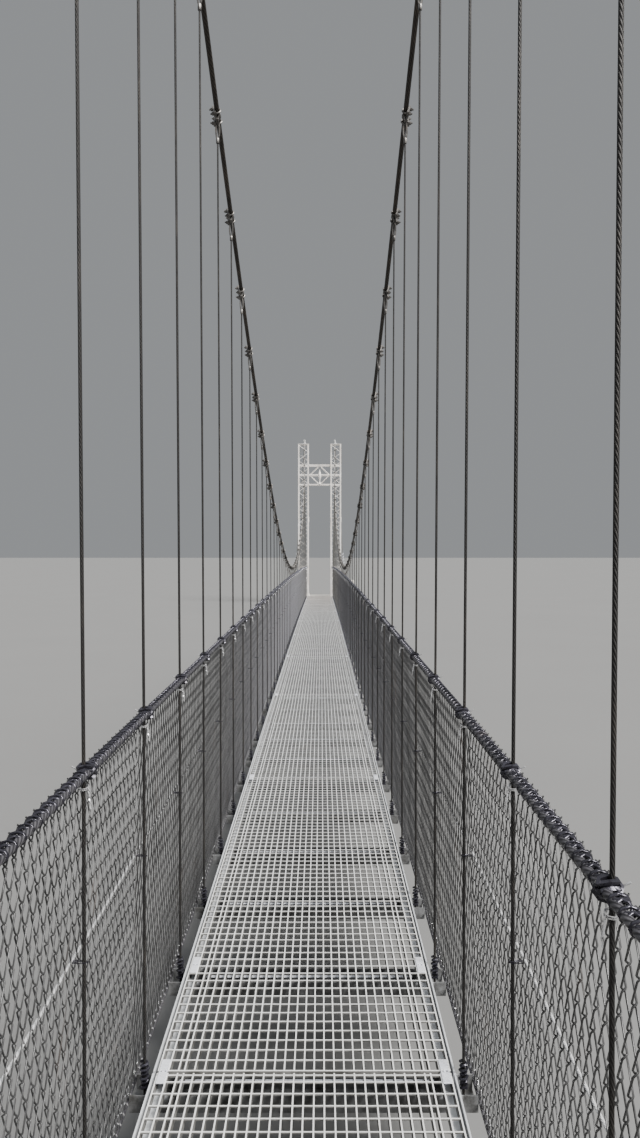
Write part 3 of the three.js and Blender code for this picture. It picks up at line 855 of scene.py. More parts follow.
def point_guide(name, points, turns=None):
    """A mesh of single points, each with the Euler turn of what stands on it."""
    mesh = bpy.data.meshes.new(name)
    mesh.from_pydata([tuple(point) for point in points], [], [])
    if turns is not None:
        attribute = mesh.attributes.new("turn", "FLOAT_VECTOR", "POINT")
        attribute.data.foreach_set("vector", np.asarray(turns, np.float32).ravel())
    return mesh


def rope_group():
    """A rope along each guide line, with the attributes that its strands follow."""
    graph, given = node_group("laid_rope", Float=["Wire Radius"], Int=["Sides"])
    length = graph.add("GeometryNodeSplineParameter", output="Length")
    line = graph.stored(graph.curve(given["Geometry"]), "FLOAT", "along", length)
    spot = graph.add("GeometryNodeInputPosition")
    ring = graph.stored(graph.ring(given), "FLOAT_VECTOR", "around", spot)
    return end_group(graph, given, graph.swept(line, ring), smooth=True)


def lacing_group():
    """A wire wound in an oval coil along a guide line. Its turns can draw together into knobs."""
    graph, given = node_group(
        "coiled_lacing",
        Float=["Half Width", "Half Height", "Knob Shift", "Knob Swell", "Looseness", "Wire Radius"],
        Int=["Turns", "Steps per Turn", "Turns per Knob", "Sides"],
    )
    count = given["Turns"] * given["Steps per Turn"] + 1
    line = graph.spaced(graph.curve(given["Geometry"]), count)
    angle = graph.add("GeometryNodeInputIndex") * TURN / given["Steps per Turn"]
    knob = angle / given["Turns per Knob"]
    shift = knob.sine() * given["Knob Shift"] * -1
    spot = graph.add("GeometryNodeInputPosition")
    loose = (graph.noise(spot, 60.0, 1.0) - 0.5) * given["Looseness"]
    girth = 1 + knob.cosine() * given["Knob Swell"] + loose
    width = angle.cosine() * given["Half Width"] * girth
    height = angle.sine() * given["Half Height"] * girth
    coil = graph.moved(line, Offset=graph.join(width, shift, height))
    return end_group(graph, given, graph.swept(coil, graph.ring(given)), smooth=True)


def chain_link_group():
    """Chain-link fabric: upright zigzag wires along a guide line.

    With several points a bend the wires hook into each other. With one they are plain zigzags.
    """
    graph, given = node_group(
        "chain_link",
        Float=["Diamond Width", "Diamond Height", "Bend Height", "Bend Round", "Hook", "Leg Offset",
               "Wire Radius", "Lean", "Slack"],
        Int=["Wires", "Bends", "Points per Bend", "Sides"],
    )
    per_bend = given["Points per Bend"]
    half_bend = (per_bend - 1) * 0.5
    count = given["Bends"] * per_bend
    wire = graph.add("GeometryNodeMeshLine", inputs={"Count": count, "Offset": (0.0, 0.0, 1.0)})
    index = graph.add("GeometryNodeInputIndex")
    bend = (index / per_bend + 0.001).floor()
    step = (index - bend * per_bend - half_bend) / half_bend.maths("MAXIMUM", half_bend, 1.0)
    hand = bend % 2.0
    turned_to = hand * 2 - 1
    z = bend * given["Diamond Height"] * 0.5 + step * given["Bend Height"]
    y = hand * given["Diamond Width"] * 0.5 + turned_to * (given["Hook"] - step * step * given["Bend Round"])
    x = turned_to * (step * (math.pi / 2)).sine() * given["Leg Offset"]
    wire = graph.moved(wire, Position=graph.join(x, y, z))
    wire = graph.stored(wire, "FLOAT", "freedom", (index * math.pi / count).sine())
    wire = graph.swept(graph.curve(wire), graph.ring(given))
    line = graph.spaced(graph.curve(given["Geometry"]), given["Wires"])
    odd = graph.add("GeometryNodeInputIndex") % 2.0
    line = graph.moved(line, Offset=graph.join(0.0, odd * given["Diamond Width"] * 0.5, 0.0))
    turn = graph.join(0.0, (1 - odd * 2) * given["Lean"], odd * math.pi)
    fabric = graph.copies(line, wire, Rotation=turn)
    fabric = graph.add("GeometryNodeRealizeInstances", inputs={0: fabric})
    spot = graph.add("GeometryNodeInputPosition")
    bulge = graph.noise(graph.stretched(spot, (1.0, 1.0, 0.6)), 1.7, 2.0) - 0.5
    ripple = graph.noise(graph.stretched(spot, (1.0, 1.0, 0.3)), 7.0, 2.0) - 0.5
    slack = graph.named("FLOAT", "freedom") * given["Slack"]
    fabric = graph.moved(fabric, Offset=graph.join((bulge * 2 + ripple * 0.5) * slack, ripple * slack, 0.0))
    return end_group(graph, given, fabric, smooth=True)


def bars_group():
    """A straight bar on every guide point."""
    graph, given = node_group("grating_bars", Vector=["Bar Size"])
    bar = graph.add("GeometryNodeMeshCube", inputs={"Size": given["Bar Size"]})
    return end_group(graph, given, graph.copies(given["Geometry"], bar))


def fittings_group():
    """A copy of one fitting on every guide point, turned as the point says."""
    graph, given = node_group("repeated_fittings", Object=["Fitting"])
    fitting = graph.add("GeometryNodeObjectInfo", inputs={"Object": given["Fitting"]}, output="Geometry")
    turn = graph.named("FLOAT_VECTOR", "turn")
    return end_group(graph, given, graph.copies(given["Geometry"], fitting, Rotation=turn))


ROPE = rope_group()
LACING = lacing_group()
CHAIN_LINK = chain_link_group()
BARS = bars_group()
FITTINGS = fittings_group()


def lay_rope(name, lines, radius, sides, material):
    return run_group(name, ROPE, line_guide(name, lines), material, {"Wire Radius": radius, "Sides": sides})


def lay_fittings(name, shape, material, points, turns):
    """Copies of one fitting's shape. The shape itself isn't kept."""
    pattern = shape.build(name + "_pattern", material)
    piece = run_group(name, FITTINGS, point_guide(name, points, turns), material, {"Fitting": pattern})
    bpy.data.objects.remove(pattern)
    return piece


# Deck

def panel_matrix(index):
    run = joint_level(index + 1) - joint_level(index)
    middle = Vector((0, joint_y(index) + PANEL_LENGTH / 2, (joint_level(index) + joint_level(index + 1)) / 2))
    return Matrix.Translation(middle) @ Matrix.Rotation(math.atan2(run, PANEL_LENGTH), 4, "X")


def bearing_bar_places():
    outer = [DECK_HALF_WIDTH - distance for distance in OUTER_BARS]
    reach = outer[-1]
    middle = [reach * (2 * n / MIDDLE_CELLS - 1) for n in range(MIDDLE_CELLS + 1)]
    return [-x for x in outer[:-1]] + middle + outer[:-1][::-1]


def grating_panel(index):
    """One panel of bar grating: bearing bars along it, rods across it and a deep and a shallow end bar."""
    length = math.hypot(PANEL_LENGTH, joint_level(index + 1) - joint_level(index)) - PANEL_GAP
    near = NEAR_END_BAR[0] - length / 2
    far = length / 2 - FAR_END_BAR[0]
    reach = DECK_HALF_WIDTH - OUTER_BARS[0]
    depth = GRATING_DEPTH / 2
    bar_start, bar_end = near + GRATING_BAR / 2, length / 2
    bearing = [(x, (bar_start + bar_end) / 2, -depth) for x in bearing_bar_places()]
    rod_count = round(PANEL_LENGTH / CROSS_SPACING)
    rods = [
        (0, FIRST_ROD + n * CROSS_SPACING - PANEL_LENGTH / 2, -CROSS_ROD * ROD_SINK)
        for n in range(1, rod_count)
    ]
    sets = [
        ("bearing", bearing, (GRATING_BAR, bar_end - bar_start, GRATING_DEPTH)),
        ("rods", rods, (2 * reach, CROSS_ROD, CROSS_ROD)),
    ]
    for label, y, height in (("near_end", near, NEAR_END_BAR[1]), ("far_end", far, FAR_END_BAR[1])):
        sets.append((label, [(0, y, -height / 2)], (2 * reach + GRATING_BAR, GRATING_BAR, height)))
    pieces = [
        run_group(f"grating_{index + 1}_{label}", BARS, point_guide(label, points), "deck_steel",
                  {"Bar Size": size})
        for label, points, size in sets
    ]
    grating = join_pieces(f"grating_panel_{index + 1}", pieces)
    # Each point's depth under the grating's top, which the deck's painted shade reads.
    places = np.empty(len(grating.data.vertices) * 3, np.float32)
    grating.data.vertices.foreach_get("co", places)
    depths = grating.data.attributes.new("depth", "FLOAT", "POINT")
    depths.data.foreach_set("value", -places[2::3] / GRATING_DEPTH)
    grating.data.transform(panel_matrix(index))
    return dress(grating, "deck_steel", f"deck_grating_{index + 1}")


def hold_down_clip():
    """A plate with a cross slot and a bolt under it."""
    clip = Shape()
    half, reach, top = CLIP["half_width"], CLIP["half_length"], CLIP["thickness"]
    slot = CLIP["slot"] / 2
    clip.block((-half, -reach, 0), (half, -slot, top))
    clip.block((-half, slot, 0), (half, reach, top))
    rail_end = slot + CLIP["overlap"]
    for side in (-1, 1):
        inner, outer = sorted((side * half, side * (half - CLIP["rail"])))
        clip.block((inner, -rail_end, 0), (outer, rail_end, top * 0.98))
    clip.rod(CLIP["bolt_radius"], CLIP["bolt_length"], (0, 0, 0.001 - CLIP["bolt_length"]), (0, 0, 1))
    return clip


def deck_clips():
    joints = [joint_y(index) for index in range(1, PANEL_COUNT)]
    places = joints + [joints[0] + BAY]
    points, turns = [], []
    for y in places:
        for side in (-1, 1):
            points.append((side * CLIP["x"], y, deck_level(y) + CLIP["gap"]))
            turns.append((math.atan(deck_slope(y)), 0, 0))
    return dress(lay_fittings("deck_clips", hold_down_clip(), "clip_zinc", points, turns), "deck_steel")


def crossbeam_strips():
    """The bright strip that shows through the grating in the middle of every crossbeam."""
    strips = Shape()
    half = STRIP["width"] / 2
    for n in range(PANEL_COUNT * BAYS_PER_PANEL + 1):
        y = -DECK_HALF_LENGTH + n * BAY
        if n in (0, PANEL_COUNT * BAYS_PER_PANEL):
            y *= 1 - STRIP["end_inset"] / DECK_HALF_LENGTH
        top = deck_level(y) + STRIP["top"]
        middle = y + (STRIP["bay_offset"] if n % BAYS_PER_PANEL else STRIP["joint_offset"])
        strips.block((-STRIP["half_length"], middle - half, top - STRIP["thickness"]),
                     (STRIP["half_length"], middle + half, top), STRIP["chamfer"])
    return dress(strips.build("crossbeam_strips", "clip_zinc"), "deck_steel")


# Fence

def chain_link_part(side, side_name, part, first_bay, bay_count, fine):
    wires = bay_count * DIAMONDS_PER_BAY * 2
    start = -DECK_HALF_LENGTH + first_bay * BAY
    finish_y = start + (wires - 1) * DIAMOND_WIDTH / 2
    knots = [start, *(y for y in map(joint_y, range(PANEL_COUNT + 1)) if start < y < finish_y), finish_y]
    foot = [(side * BOTTOM_ROPE_X, y, deck_level(y) + MESH_FOOT) for y in knots]
    name = f"{side_name}_chain_link_{part}"
    return run_group(name, CHAIN_LINK, line_guide(name, [foot]), "mesh_wire", {
        "Wires": wires,
        "Bends": MESH_HALF_ROWS + 1,
        "Points per Bend": 4 if fine else 1,
        "Diamond Width": DIAMOND_WIDTH,
        "Diamond Height": DIAMOND_HEIGHT,
        "Bend Height": 0.0038,
        "Bend Round": 0.0011,
        "Hook": 0.0020,
        "Leg Offset": -0.0034 if fine else 0.0,
        "Wire Radius": MESH_WIRE_RADIUS,
        "Sides": 3,
        "Lean": -side * MESH_LEAN,
        "Slack": 0.007,
    })


# The lacings of a fence's edges: middle, half sizes and finish
RAIL_LACING = {"x": 0.4795, "half_width": 0.0135, "half_height": 0.0098, "material": "lacing_wire"}
FOOT_LACING = {"x": 0.5275, "half_width": 0.0080, "half_height": 0.0128, "material": "tie_wire"}

# Parts of each lacing: name, first and last joint, hands it is wound in, turns for each diamond, steps in
# a turn, shift and swell of a knob, wire radius and sides
RAIL_PARTS = (
    ("near", 0, 1, (1, -1), 2, 8, 0.0052, 0.14, 0.0031, 4),
    ("middle", 1, 3, (1, -1), 1, 6, 0.0, 0.0, 0.0040, 4),
    ("far", 3, 10, (1,), 1, 6, 0.0, 0.0, 0.0052, 4),
)
FOOT_PARTS = (
    ("near", 0, 1, (1,), 1, 8, 0.0, 0.0, 0.0024, 4),
    ("far", 1, 10, (1,), 1, 5, 0.0, 0.0, 0.0022, 3),
)


def fence_lacing(side, name, sizes, parts, height):
    """The wire that laces the fence's edge to its rope, in time with the diamonds."""
    line = deck_line(side * sizes["x"], height, DECK_HALF_LENGTH)[1:-1]
    for label, first, last, hands, turns, steps, shift, swell, wire, sides in parts:
        for hand in hands:
            piece_name = f"{name}_{label}" if hand > 0 else f"{name}_{label}_crossed"
            guide = line_guide(name, [line[first:last + 1]])
            piece = run_group(piece_name, LACING, guide, sizes["material"], {
                "Half Width": hand * side * sizes["half_width"],
                "Half Height": sizes["half_height"],
                "Turns": (last - first) * BAYS_PER_PANEL * DIAMONDS_PER_BAY * turns,
                "Steps per Turn": steps,
                "Turns per Knob": turns,
                "Knob Shift": shift,
                "Knob Swell": swell,
                "Looseness": 0.26,
                "Wire Radius": wire,
                "Sides": sides,
            })
            dress(piece, "dark_rope")


def sagging_line(x, height, end_y, sag):
    """A rope held at each hanger that sags a little between them."""
    steps = 4
    line = [np.array([x, -end_y, deck_level(-end_y) + height])]
    for n in range(HANGER_COUNT * steps + steps + 1):
        y = -DECK_HALF_LENGTH + n * BAY / steps
        dip = sag * math.sin(math.pi * (n % steps) / steps)
        line.append(np.array([x, y, deck_level(y) + height - dip]))
    line.append(np.array([x, end_y, deck_level(end_y) + height]))
    return line


def fence_ropes(side_name, side):
    mast_face = TOWER_Y - MAST_WIDTH / 2 - SEAT
    rail_line = deck_line(side * HANDRAIL_X, HANDRAIL_HEIGHT, mast_face)
    rail = lay_rope(f"{side_name}_handrail", [rail_line], HANDRAIL_RADIUS, 10, "handrail_rope")
    dress(rail, "dark_rope", f"{side_name}_handrail_rope")
    mid_x = side * (mesh_x(MID_ROPE_HEIGHT) + MID_ROPE_GAP)
    mid_line = sagging_line(mid_x, MID_ROPE_HEIGHT, mast_face, MID_ROPE_SAG)
    mid = lay_rope(f"{side_name}_mid_wire", [mid_line], MID_ROPE_RADIUS, 6, "bright_rope")
    dress(mid, "bright_rope", f"{side_name}_mid_rope")
    foot_line = deck_line(side * BOTTOM_ROPE_X, BOTTOM_ROPE_HEIGHT, FOUNDATION["upstand"] - SEAT)
    foot = lay_rope(f"{side_name}_foot_rope", [foot_line], BOTTOM_ROPE_RADIUS, 8, "handrail_rope")
    dress(foot, "bright_rope", f"{side_name}_bottom_rope")


def fence(side_name, side):
    fine = chain_link_part(side, side_name, "near_part", 0, FINE_MESH_BAYS, True)
    dress(fine, "mesh_wire", f"{side_name}_chain_link")
    plain_bays = PANEL_COUNT * BAYS_PER_PANEL - FINE_MESH_BAYS
    dress(chain_link_part(side, side_name, "far_part", FINE_MESH_BAYS, plain_bays, False), "mesh_wire")
    fence_ropes(side_name, side)
    fence_lacing(side, f"{side_name}_rail_lacing", RAIL_LACING, RAIL_PARTS, HANDRAIL_HEIGHT)
    foot_height = BOTTOM_ROPE_HEIGHT + FOOT_LACING_RISE
    fence_lacing(side, f"{side_name}_foot_lacing", FOOT_LACING, FOOT_PARTS, foot_height)


# Hangers and their fittings

def coil_path(turns, steps, half_width, half_depth, lead, tilt):
    """An oval coil in the XY plane, tilted about X, that climbs by lead each turn."""
    count = round(turns * steps) + 1
    path = []
    for n in range(count):
        angle = n * TURN / steps
        u = half_depth * math.sin(angle)
        v = lead * (n / steps - turns / 2)
        path.append((
            half_width * math.cos(angle),
            u * math.cos(tilt) - v * math.sin(tilt),
            u * math.sin(tilt) + v * math.cos(tilt),
        ))
    return path


def rail_knot():
    """Lacing wire crossed round hanger and handrail. Its origin is between the two."""
    knot = Shape()
    for tilt, turns in ((0.75, 2.5), (-0.62, 2.25)):
        knot.tube(coil_path(turns, 8, 0.0185, 0.0155, 0.0100, tilt), 0.0046, 5)
    return knot


def rail_tie(side):
    """Silver wire twisted round the hanger under the knot: a loop, an end that stands out and two tails."""
    tie = Shape()
    hanger = side * (HANGER_RAIL_X - HANDRAIL_X) / 2
    reach_out, twist, drop = 0.0118, 0.0016, 0.036
    loop = [(x + hanger, y, z - drop) for x, y, z in coil_path(2.25, 8, reach_out, 0.0105, 0.0030, 0.3)]
    tie.tube(loop, 0.0017, 3)
    tie.tube([(hanger + side * 0.010, 0.004, -0.010), (hanger + side * 0.016, -0.002, 0.006),
              (hanger + side * 0.026, -0.006, 0.013)], 0.0018, 4)
    for phase, reach in ((0.0, 15), (math.pi, 11)):
        tail = []
        for n in range(reach):
            angle = n * TURN / 5 + phase
            tail.append((
                hanger - side * (reach_out + twist * math.cos(angle) + n * 0.0005),
                -0.003 + twist * math.sin(angle) - n * 0.0004,
                -0.034 - n * 0.0034,
            ))
        tie.tube(tail, 0.0015, 3)
    return tie


def mid_tie():
    """A short loop of wire from the hanger, through the mesh, to the mid rope."""
    tie = Shape()
    tie.tube(coil_path(1.75, 8, 0.0215, 0.0060, 0.0030, 0.0), 0.0012, 4)
    return tie


def foot_winding():
    """The hanger's tail wound round its foot, over the crossbeam."""
    winding = Shape()
    turns, steps, climb = 6.5, 6, 0.0128
    path = []
    for n in range(round(turns * steps) + 1):
        angle = n * TURN / steps
        swell = 0.0100 + 0.0024 * math.sin(n * 0.49)
        path.append((swell * math.cos(angle), swell * math.sin(angle), n / steps * climb))
    winding.tube(path, 0.0048, 5)
    return winding


def rope_clip(half_gap, bolt, wide, long, rise):
    """A wire-rope clip round a rope along Y: a saddle on top, a U-bolt under the rope and two nuts."""
    clip = Shape()
    saddle_top, bolt_end = rise + 0.013, rise + 0.03
    clip.block((-wide, -long, rise), (wide, long, saddle_top), 0.002)
    bow = [(-half_gap, 0, bolt_end), (-half_gap, 0, 0)]
    for n in range(1, 6):
        angle = math.pi * n / 6
        bow.append((-half_gap * math.cos(angle), 0, -half_gap * math.sin(angle)))
    bow += [(half_gap, 0, 0), (half_gap, 0, bolt_end)]
    clip.tube(bow, bolt, 6)
    for x in (-half_gap, half_gap):
        clip.nut((x, 0, saddle_top), (0, 0, 1), bolt * 2.05, 0.0095)
    return clip


def rope_clamp(side):
    """Two clips in a row on the main rope, their nuts outward, and the bolt eye of a hanger under them."""
    clamp = Shape()
    clip = rope_clip(half_gap=0.0178, bolt=0.0048, wide=0.0275, long=0.0145, rise=0.009)
    for y, tilt in ((-0.031, 0.25), (0.031, -0.15)):
        turn = Matrix.Rotation(side * (math.pi / 2 + tilt), 4, "Y")
        clamp.merge(clip, Matrix.Translation((0, y, 0)) @ turn)
    barrel = [(0, 0.0150), (0.005, 0.0182), (0.021, 0.0182), (0.026, 0.0150)]
    clamp.turned(barrel, (0, -0.013, 0), (0, 1, 0), 10)
    clamp.block((-0.0075, -0.0125, -0.040), (0.0075, 0.0125, -0.012), 0.002)
    return clamp


def thimble_eye():
    """The eye at a hanger's top, hung under its clamp, with the rope's tail clipped back on it."""
    eye = Shape()
    steps = 14
    path = []
    for n in range(1, steps):
        angle = TURN * n / steps
        spread = 0.0112 * math.sin(angle) * (1 - 0.25 * (1 - math.cos(angle)) / 2)
        path.append((spread, 0, -0.034 - 0.0445 * (1 - math.cos(angle))))
    eye.tube(path, 0.0048, 5)
    sleeve = [(0, 0.0078), (0.004, 0.0092), (0.024, 0.0092), (0.028, 0.0078)]
    eye.turned(sleeve, (0, 0, -0.146), (0, 0, 1), 7)
    return eye


def hangers(side_name, side):
    lines = [hanger_line(side, index) for index in range(HANGER_COUNT)]
    dress(lay_rope(f"{side_name}_hangers", lines, HANGER_RADIUS, 8, "hanger_rope"), "dark_rope")
    tops, slopes, uprights, rails, mids, feet = [], [], [], [], [], []
    for index in range(HANGER_COUNT):
        y = hanger_y(index)
        level = deck_level(y)
        tops.append(hanger_point(side, index, 1))
        slopes.append((math.atan(2 * ROPE_CURVATURE * (y - LOWEST_ROPE_Y)), 0, 0))
        uprights.append((0, 0, 0))
        rails.append((side * (HANGER_RAIL_X + HANDRAIL_X) / 2, y, level + HANDRAIL_HEIGHT))
        mid_x = (side * mesh_x(MID_ROPE_HEIGHT) + hanger_x(side, index, MID_ROPE_HEIGHT)) / 2
        mids.append((mid_x, y, level + MID_ROPE_HEIGHT))
        feet.append((hanger_x(side, index, 0), y, level + BEAM_TOP - WINDING_DROP))
    places = [
        ("rope_clamps", rope_clamp(side), "clamp_iron", tops, slopes),
        ("thimble_eyes", thimble_eye(), "clamp_iron", tops, uprights),
        ("rail_knots", rail_knot(), "lacing_wire", rails, uprights),
        ("rail_ties", rail_tie(side), "tie_wire", rails, uprights),
        ("mid_ties", mid_tie(), "lacing_wire", mids, uprights),
        ("foot_windings", foot_winding(), "lacing_wire", feet, uprights),
    ]
    for label, shape, material, points, turns in places:
        dress(lay_fittings(f"{side_name}_{label}", shape, material, points, turns), "dark_rope")


def main_rope(side_name, side):
    span = np.arange(BAY - DECK_HALF_LENGTH, DECK_HALF_LENGTH - BAY * 0.75, BAY / 2)
    line = [stay_point(side, -1, ROPE_END), *saddle_line(side, -1, 12)[::-1]]
    line += [main_rope_point(side, y) for y in span]
    line += [*saddle_line(side, 1, 12), stay_point(side, 1, ROPE_END)]
    rope = lay_rope(f"{side_name}_main_rope", [line], MAIN_ROPE_RADIUS, 12, "main_rope")
    dress(rope, "dark_rope", f"{side_name}_main_rope_and_hangers")


# Towers

LEG_PLACE = (MAST_WIDTH - LEG_SIZE) / 2


def lacing_face(steps, bottom, rise):
    """The bent rod of one mast face, drawn on the face at +Y."""
    plane = MAST_WIDTH / 2 - LEG_PLATE - LACING_ROD
    path = []
    for step in range(steps + 1):
        x = (-1 if step % 2 == 0 else 1) * (LEG_PLACE + LACING_SPREAD)
        level = bottom + step * rise
        path.append((x, plane, level - LACING_REACH if step else level))
        if step < steps:
            path.append((x, plane, level + LACING_REACH))
    return path


def angle_leg(x_sign, y_sign):
    """Outline of an angle leg whose corner is on the mast's outer corner."""
    outer = MAST_WIDTH / 2
    inner = outer - LEG_SIZE
    web = outer - LEG_PLATE
    corners = [(outer, outer), (inner, outer), (inner, web), (web, web), (web, inner), (outer, inner)]
    return [(x * x_sign, y * y_sign) for x, y in corners]


def on_each_face(mast, fitting):
    for face in range(4):
        mast.merge(fitting, Matrix.Rotation(face * math.pi / 2, 4, "Z"))


def mast_shape(end):
    """One lattice mast on its own origin, with its bridge side towards +Y."""
    height = SADDLE_RISE[end] - SADDLE_HEIGHT - SEAT
    mast = Shape()
    base, base_top = BASE_PLATE[0] / 2, BASE_PLATE[1]
    mast.block((-base, -base, 0), (base, base, base_top), 0.003)
    cap, cap_depth = TOP_PLATE[0] / 2, TOP_PLATE[1]
    mast.block((-cap, -cap, height - cap_depth), (cap, cap, height), 0.003)
    for x_sign in (-1, 1):
        for y_sign in (-1, 1):
            mast.prism(angle_leg(x_sign, y_sign), base_top / 2, height - cap_depth / 2, 2)
            add_leg_fittings(mast, x_sign, y_sign, height)
    bottom = base_top + LACING_END_GAP
    top = height - cap_depth - LACING_END_GAP
    steps = round((top - bottom) / LACING_RISE)
    rod = Shape()
    rod.tube(lacing_face(steps, bottom, (top - bottom) / steps), LACING_ROD, 6)
    on_each_face(mast, rod)
    outer = MAST_WIDTH / 2
    portal_top = height + SADDLE_HEIGHT + SEAT - PORTAL_DROP
    band = Shape()
    for level in portal_levels():
        middle = portal_top + level
        band.block((-LEG_PLACE, outer - BAND["back"], middle - BAND["half_height"]),
                   (LEG_PLACE, outer - BAND["front"], middle + BAND["half_height"]))
    on_each_face(mast, band)
    for level in (HANDRAIL_HEIGHT, MID_ROPE_HEIGHT):
        mast.block((-LEG_PLACE, outer - ROPE_PLATE["depth"], level - ROPE_PLATE["half_height"]),
                   (LEG_PLACE, outer, level + ROPE_PLATE["half_height"]))
    studs = Shape()
    for x in (-STUD["x"], STUD["x"]):
        studs.bolt((x, outer + STUD["out"], base_top), (0, 0, 1), STUD["radius"], STUD["length"])
    on_each_face(mast, studs)
    return mast


def add_leg_fittings(mast, x_sign, y_sign, height):
    """Foot gussets and the bolted splice half way up one leg."""
    outer = MAST_WIDTH / 2
    foot, splice = BASE_PLATE[1], height * 0.5
    for along, sign, other in ((0, x_sign, y_sign), (1, y_sign, x_sign)):
        edge, tip = sign * outer, sign * (outer + GUSSET["width"])
        run = [(edge, foot), (tip, foot), (edge, foot + GUSSET["height"])]
        low, high = sorted((other * (outer - GUSSET["back"]), other * (outer - GUSSET["front"])))
        if along:
            mast.prism(run, low, high, 0)
        else:
            mast.prism([(z, x) for x, z in run], low, high, 1)
        plate = sign * (outer + SPLICE["depth"])
        near, far = outer - LEG_SIZE + SPLICE["inset"], outer - SPLICE["inset"]
        side_low, side_high = sorted((other * near, other * far))
        lows = [side_low, side_low, splice - SPLICE["half_height"]]
        highs = [side_high, side_high, splice + SPLICE["half_height"]]
        lows[along], highs[along] = sorted((edge, plate))
        mast.block(lows, highs)
        for rise in SPLICE["nut_rises"]:
            spot = [(side_low + side_high) / 2, (side_low + side_high) / 2, splice + rise]
            spot[along] = plate
            direction = [0, 0, 0]
            direction[along] = sign
            mast.nut(spot, direction, 0.009, 0.007)


def portal_levels():
    half = PORTAL_CHORD / 2
    return (-PORTAL_DEPTH + half, -PORTAL_DEPTH / 2, -half)


# Turned drop of the portal: distance under the portal's top and radius
DROP = (
    (0.190, 0.006), (0.200, 0.012), (0.240, 0.022), (0.280, 0.035), (0.325, 0.049),
    (0.370, 0.058), (0.415, 0.061), (0.460, 0.058), (0.520, 0.043), (0.580, 0.028),
    (0.620, 0.021), (0.655, 0.020), (0.675, 0.028), (0.700, 0.045), (0.745, 0.045),
)


def portal_shape():
    """Truss between a tower's masts: three chords in two planes, a wide diamond and, at +Y, a turned drop."""
    portal = Shape()
    reach = MAST_X - MAST_WIDTH / 2 - SEAT
    half = PORTAL_CHORD / 2
    low, middle, high = portal_levels()
    rod = 0.010
    for plane in (-LEG_PLACE, LEG_PLACE):
        for level in (low, middle, high):
            portal.block((-reach, plane - half, level - half), (reach, plane + half, level + half), 0.003)
            for side in (-1, 1):
                near, far = sorted((side * (reach - PORTAL_PLATE["depth"]), side * reach))
                plate = PORTAL_PLATE["half_width"]
                portal.block((near, plane - plate, level - plate), (far, plane + plate, level + plate))
        for side in (-1, 1):
            outer = side * (reach - PORTAL_CHORD)
            for level in (high, low):
                portal.tube([(outer, plane, middle), (0, plane, level)], rod, 8)
    portal.turned(DROP, (0, LEG_PLACE, 0), (0, 0, -1), 18)
    for x in (-reach + PORTAL_CHORD, reach - PORTAL_CHORD):
        for level in (low, high):
            portal.tube([(x, -LEG_PLACE, level), (x, LEG_PLACE, level)], 0.012, 8)
    return portal


def saddle_shape(end):
    """Cast saddle: a curved seat between two cheeks, ribbed, on a bolted base. Bridge side towards +Y."""
    arc = saddle_line(1, end, 20)
    level = DECK_END_LEVEL + SADDLE_RISE[end] - SADDLE_HEIGHT
    centre = SADDLE_HEIGHT - SADDLE_RADIUS
    angles = [math.atan2(end * point[1] - TOWER_Y, point[2] - level - centre) for point in arc]
    saddle = Shape()

    def profile(radius):
        crown = [(-radius * math.sin(a), centre + radius * math.cos(a)) for a in angles]
        return [(-SADDLE_BASE["half_length"], SEAT), (SADDLE_BASE["half_length"], SEAT), *crown]

    seat = SADDLE_RADIUS - ROPE_BEDDING - MAIN_ROPE_RADIUS - 0.001
    saddle.prism(profile(seat), -SEAT_HALF_WIDTH, SEAT_HALF_WIDTH, 0)
    top, cheek = SADDLE_BASE["top"], CHEEK["outer"]
    for side in (-1, 1):
        low, high = sorted((side * CHEEK["inner"], side * cheek))
        saddle.prism(profile(seat + CHEEK["rise"]), low, high, 0)
        rib = [(top, side * cheek), (top, side * RIB["out"]), (RIB["top"], side * cheek)]
        for y in (-0.11, 0.0, 0.11):
            saddle.prism(rib, y - RIB["half_depth"], y + RIB["half_depth"], 1)
        for y in (-0.155, 0.155):
            saddle.bolt((side * 0.046, y, top), (0, 0, 1), 0.008, 0.04)
    low = (-SADDLE_BASE["half_width"], -SADDLE_BASE["half_length"], SEAT)
    high = (SADDLE_BASE["half_width"], SADDLE_BASE["half_length"], top)
    saddle.block(low, high, 0.003)
    for y in (-0.055, 0.055):
        saddle.rod(0.007, 0.076, (-0.038, y, THROUGH_BOLT_RISE), (1, 0, 0))
        for side in (-1, 1):
            saddle.nut((side * cheek, y, THROUGH_BOLT_RISE), (side, 0, 0), 0.0125, 0.009)
    return saddle


def foundation_shape(end):
    outline = [
        (FOUNDATION["ledge_start"], 0), (FOUNDATION["end"], 0), (FOUNDATION["end"], DECK_END_LEVEL),
        (FOUNDATION["upstand"], DECK_END_LEVEL), (FOUNDATION["upstand"], LEDGE_LEVEL),
        (FOUNDATION["ledge_start"], LEDGE_LEVEL),
    ]
    base = Shape()
    width = FOUNDATION["half_width"]
    base.prism([(end * y, z) for y, z in outline], -width, width, 0)
    return base


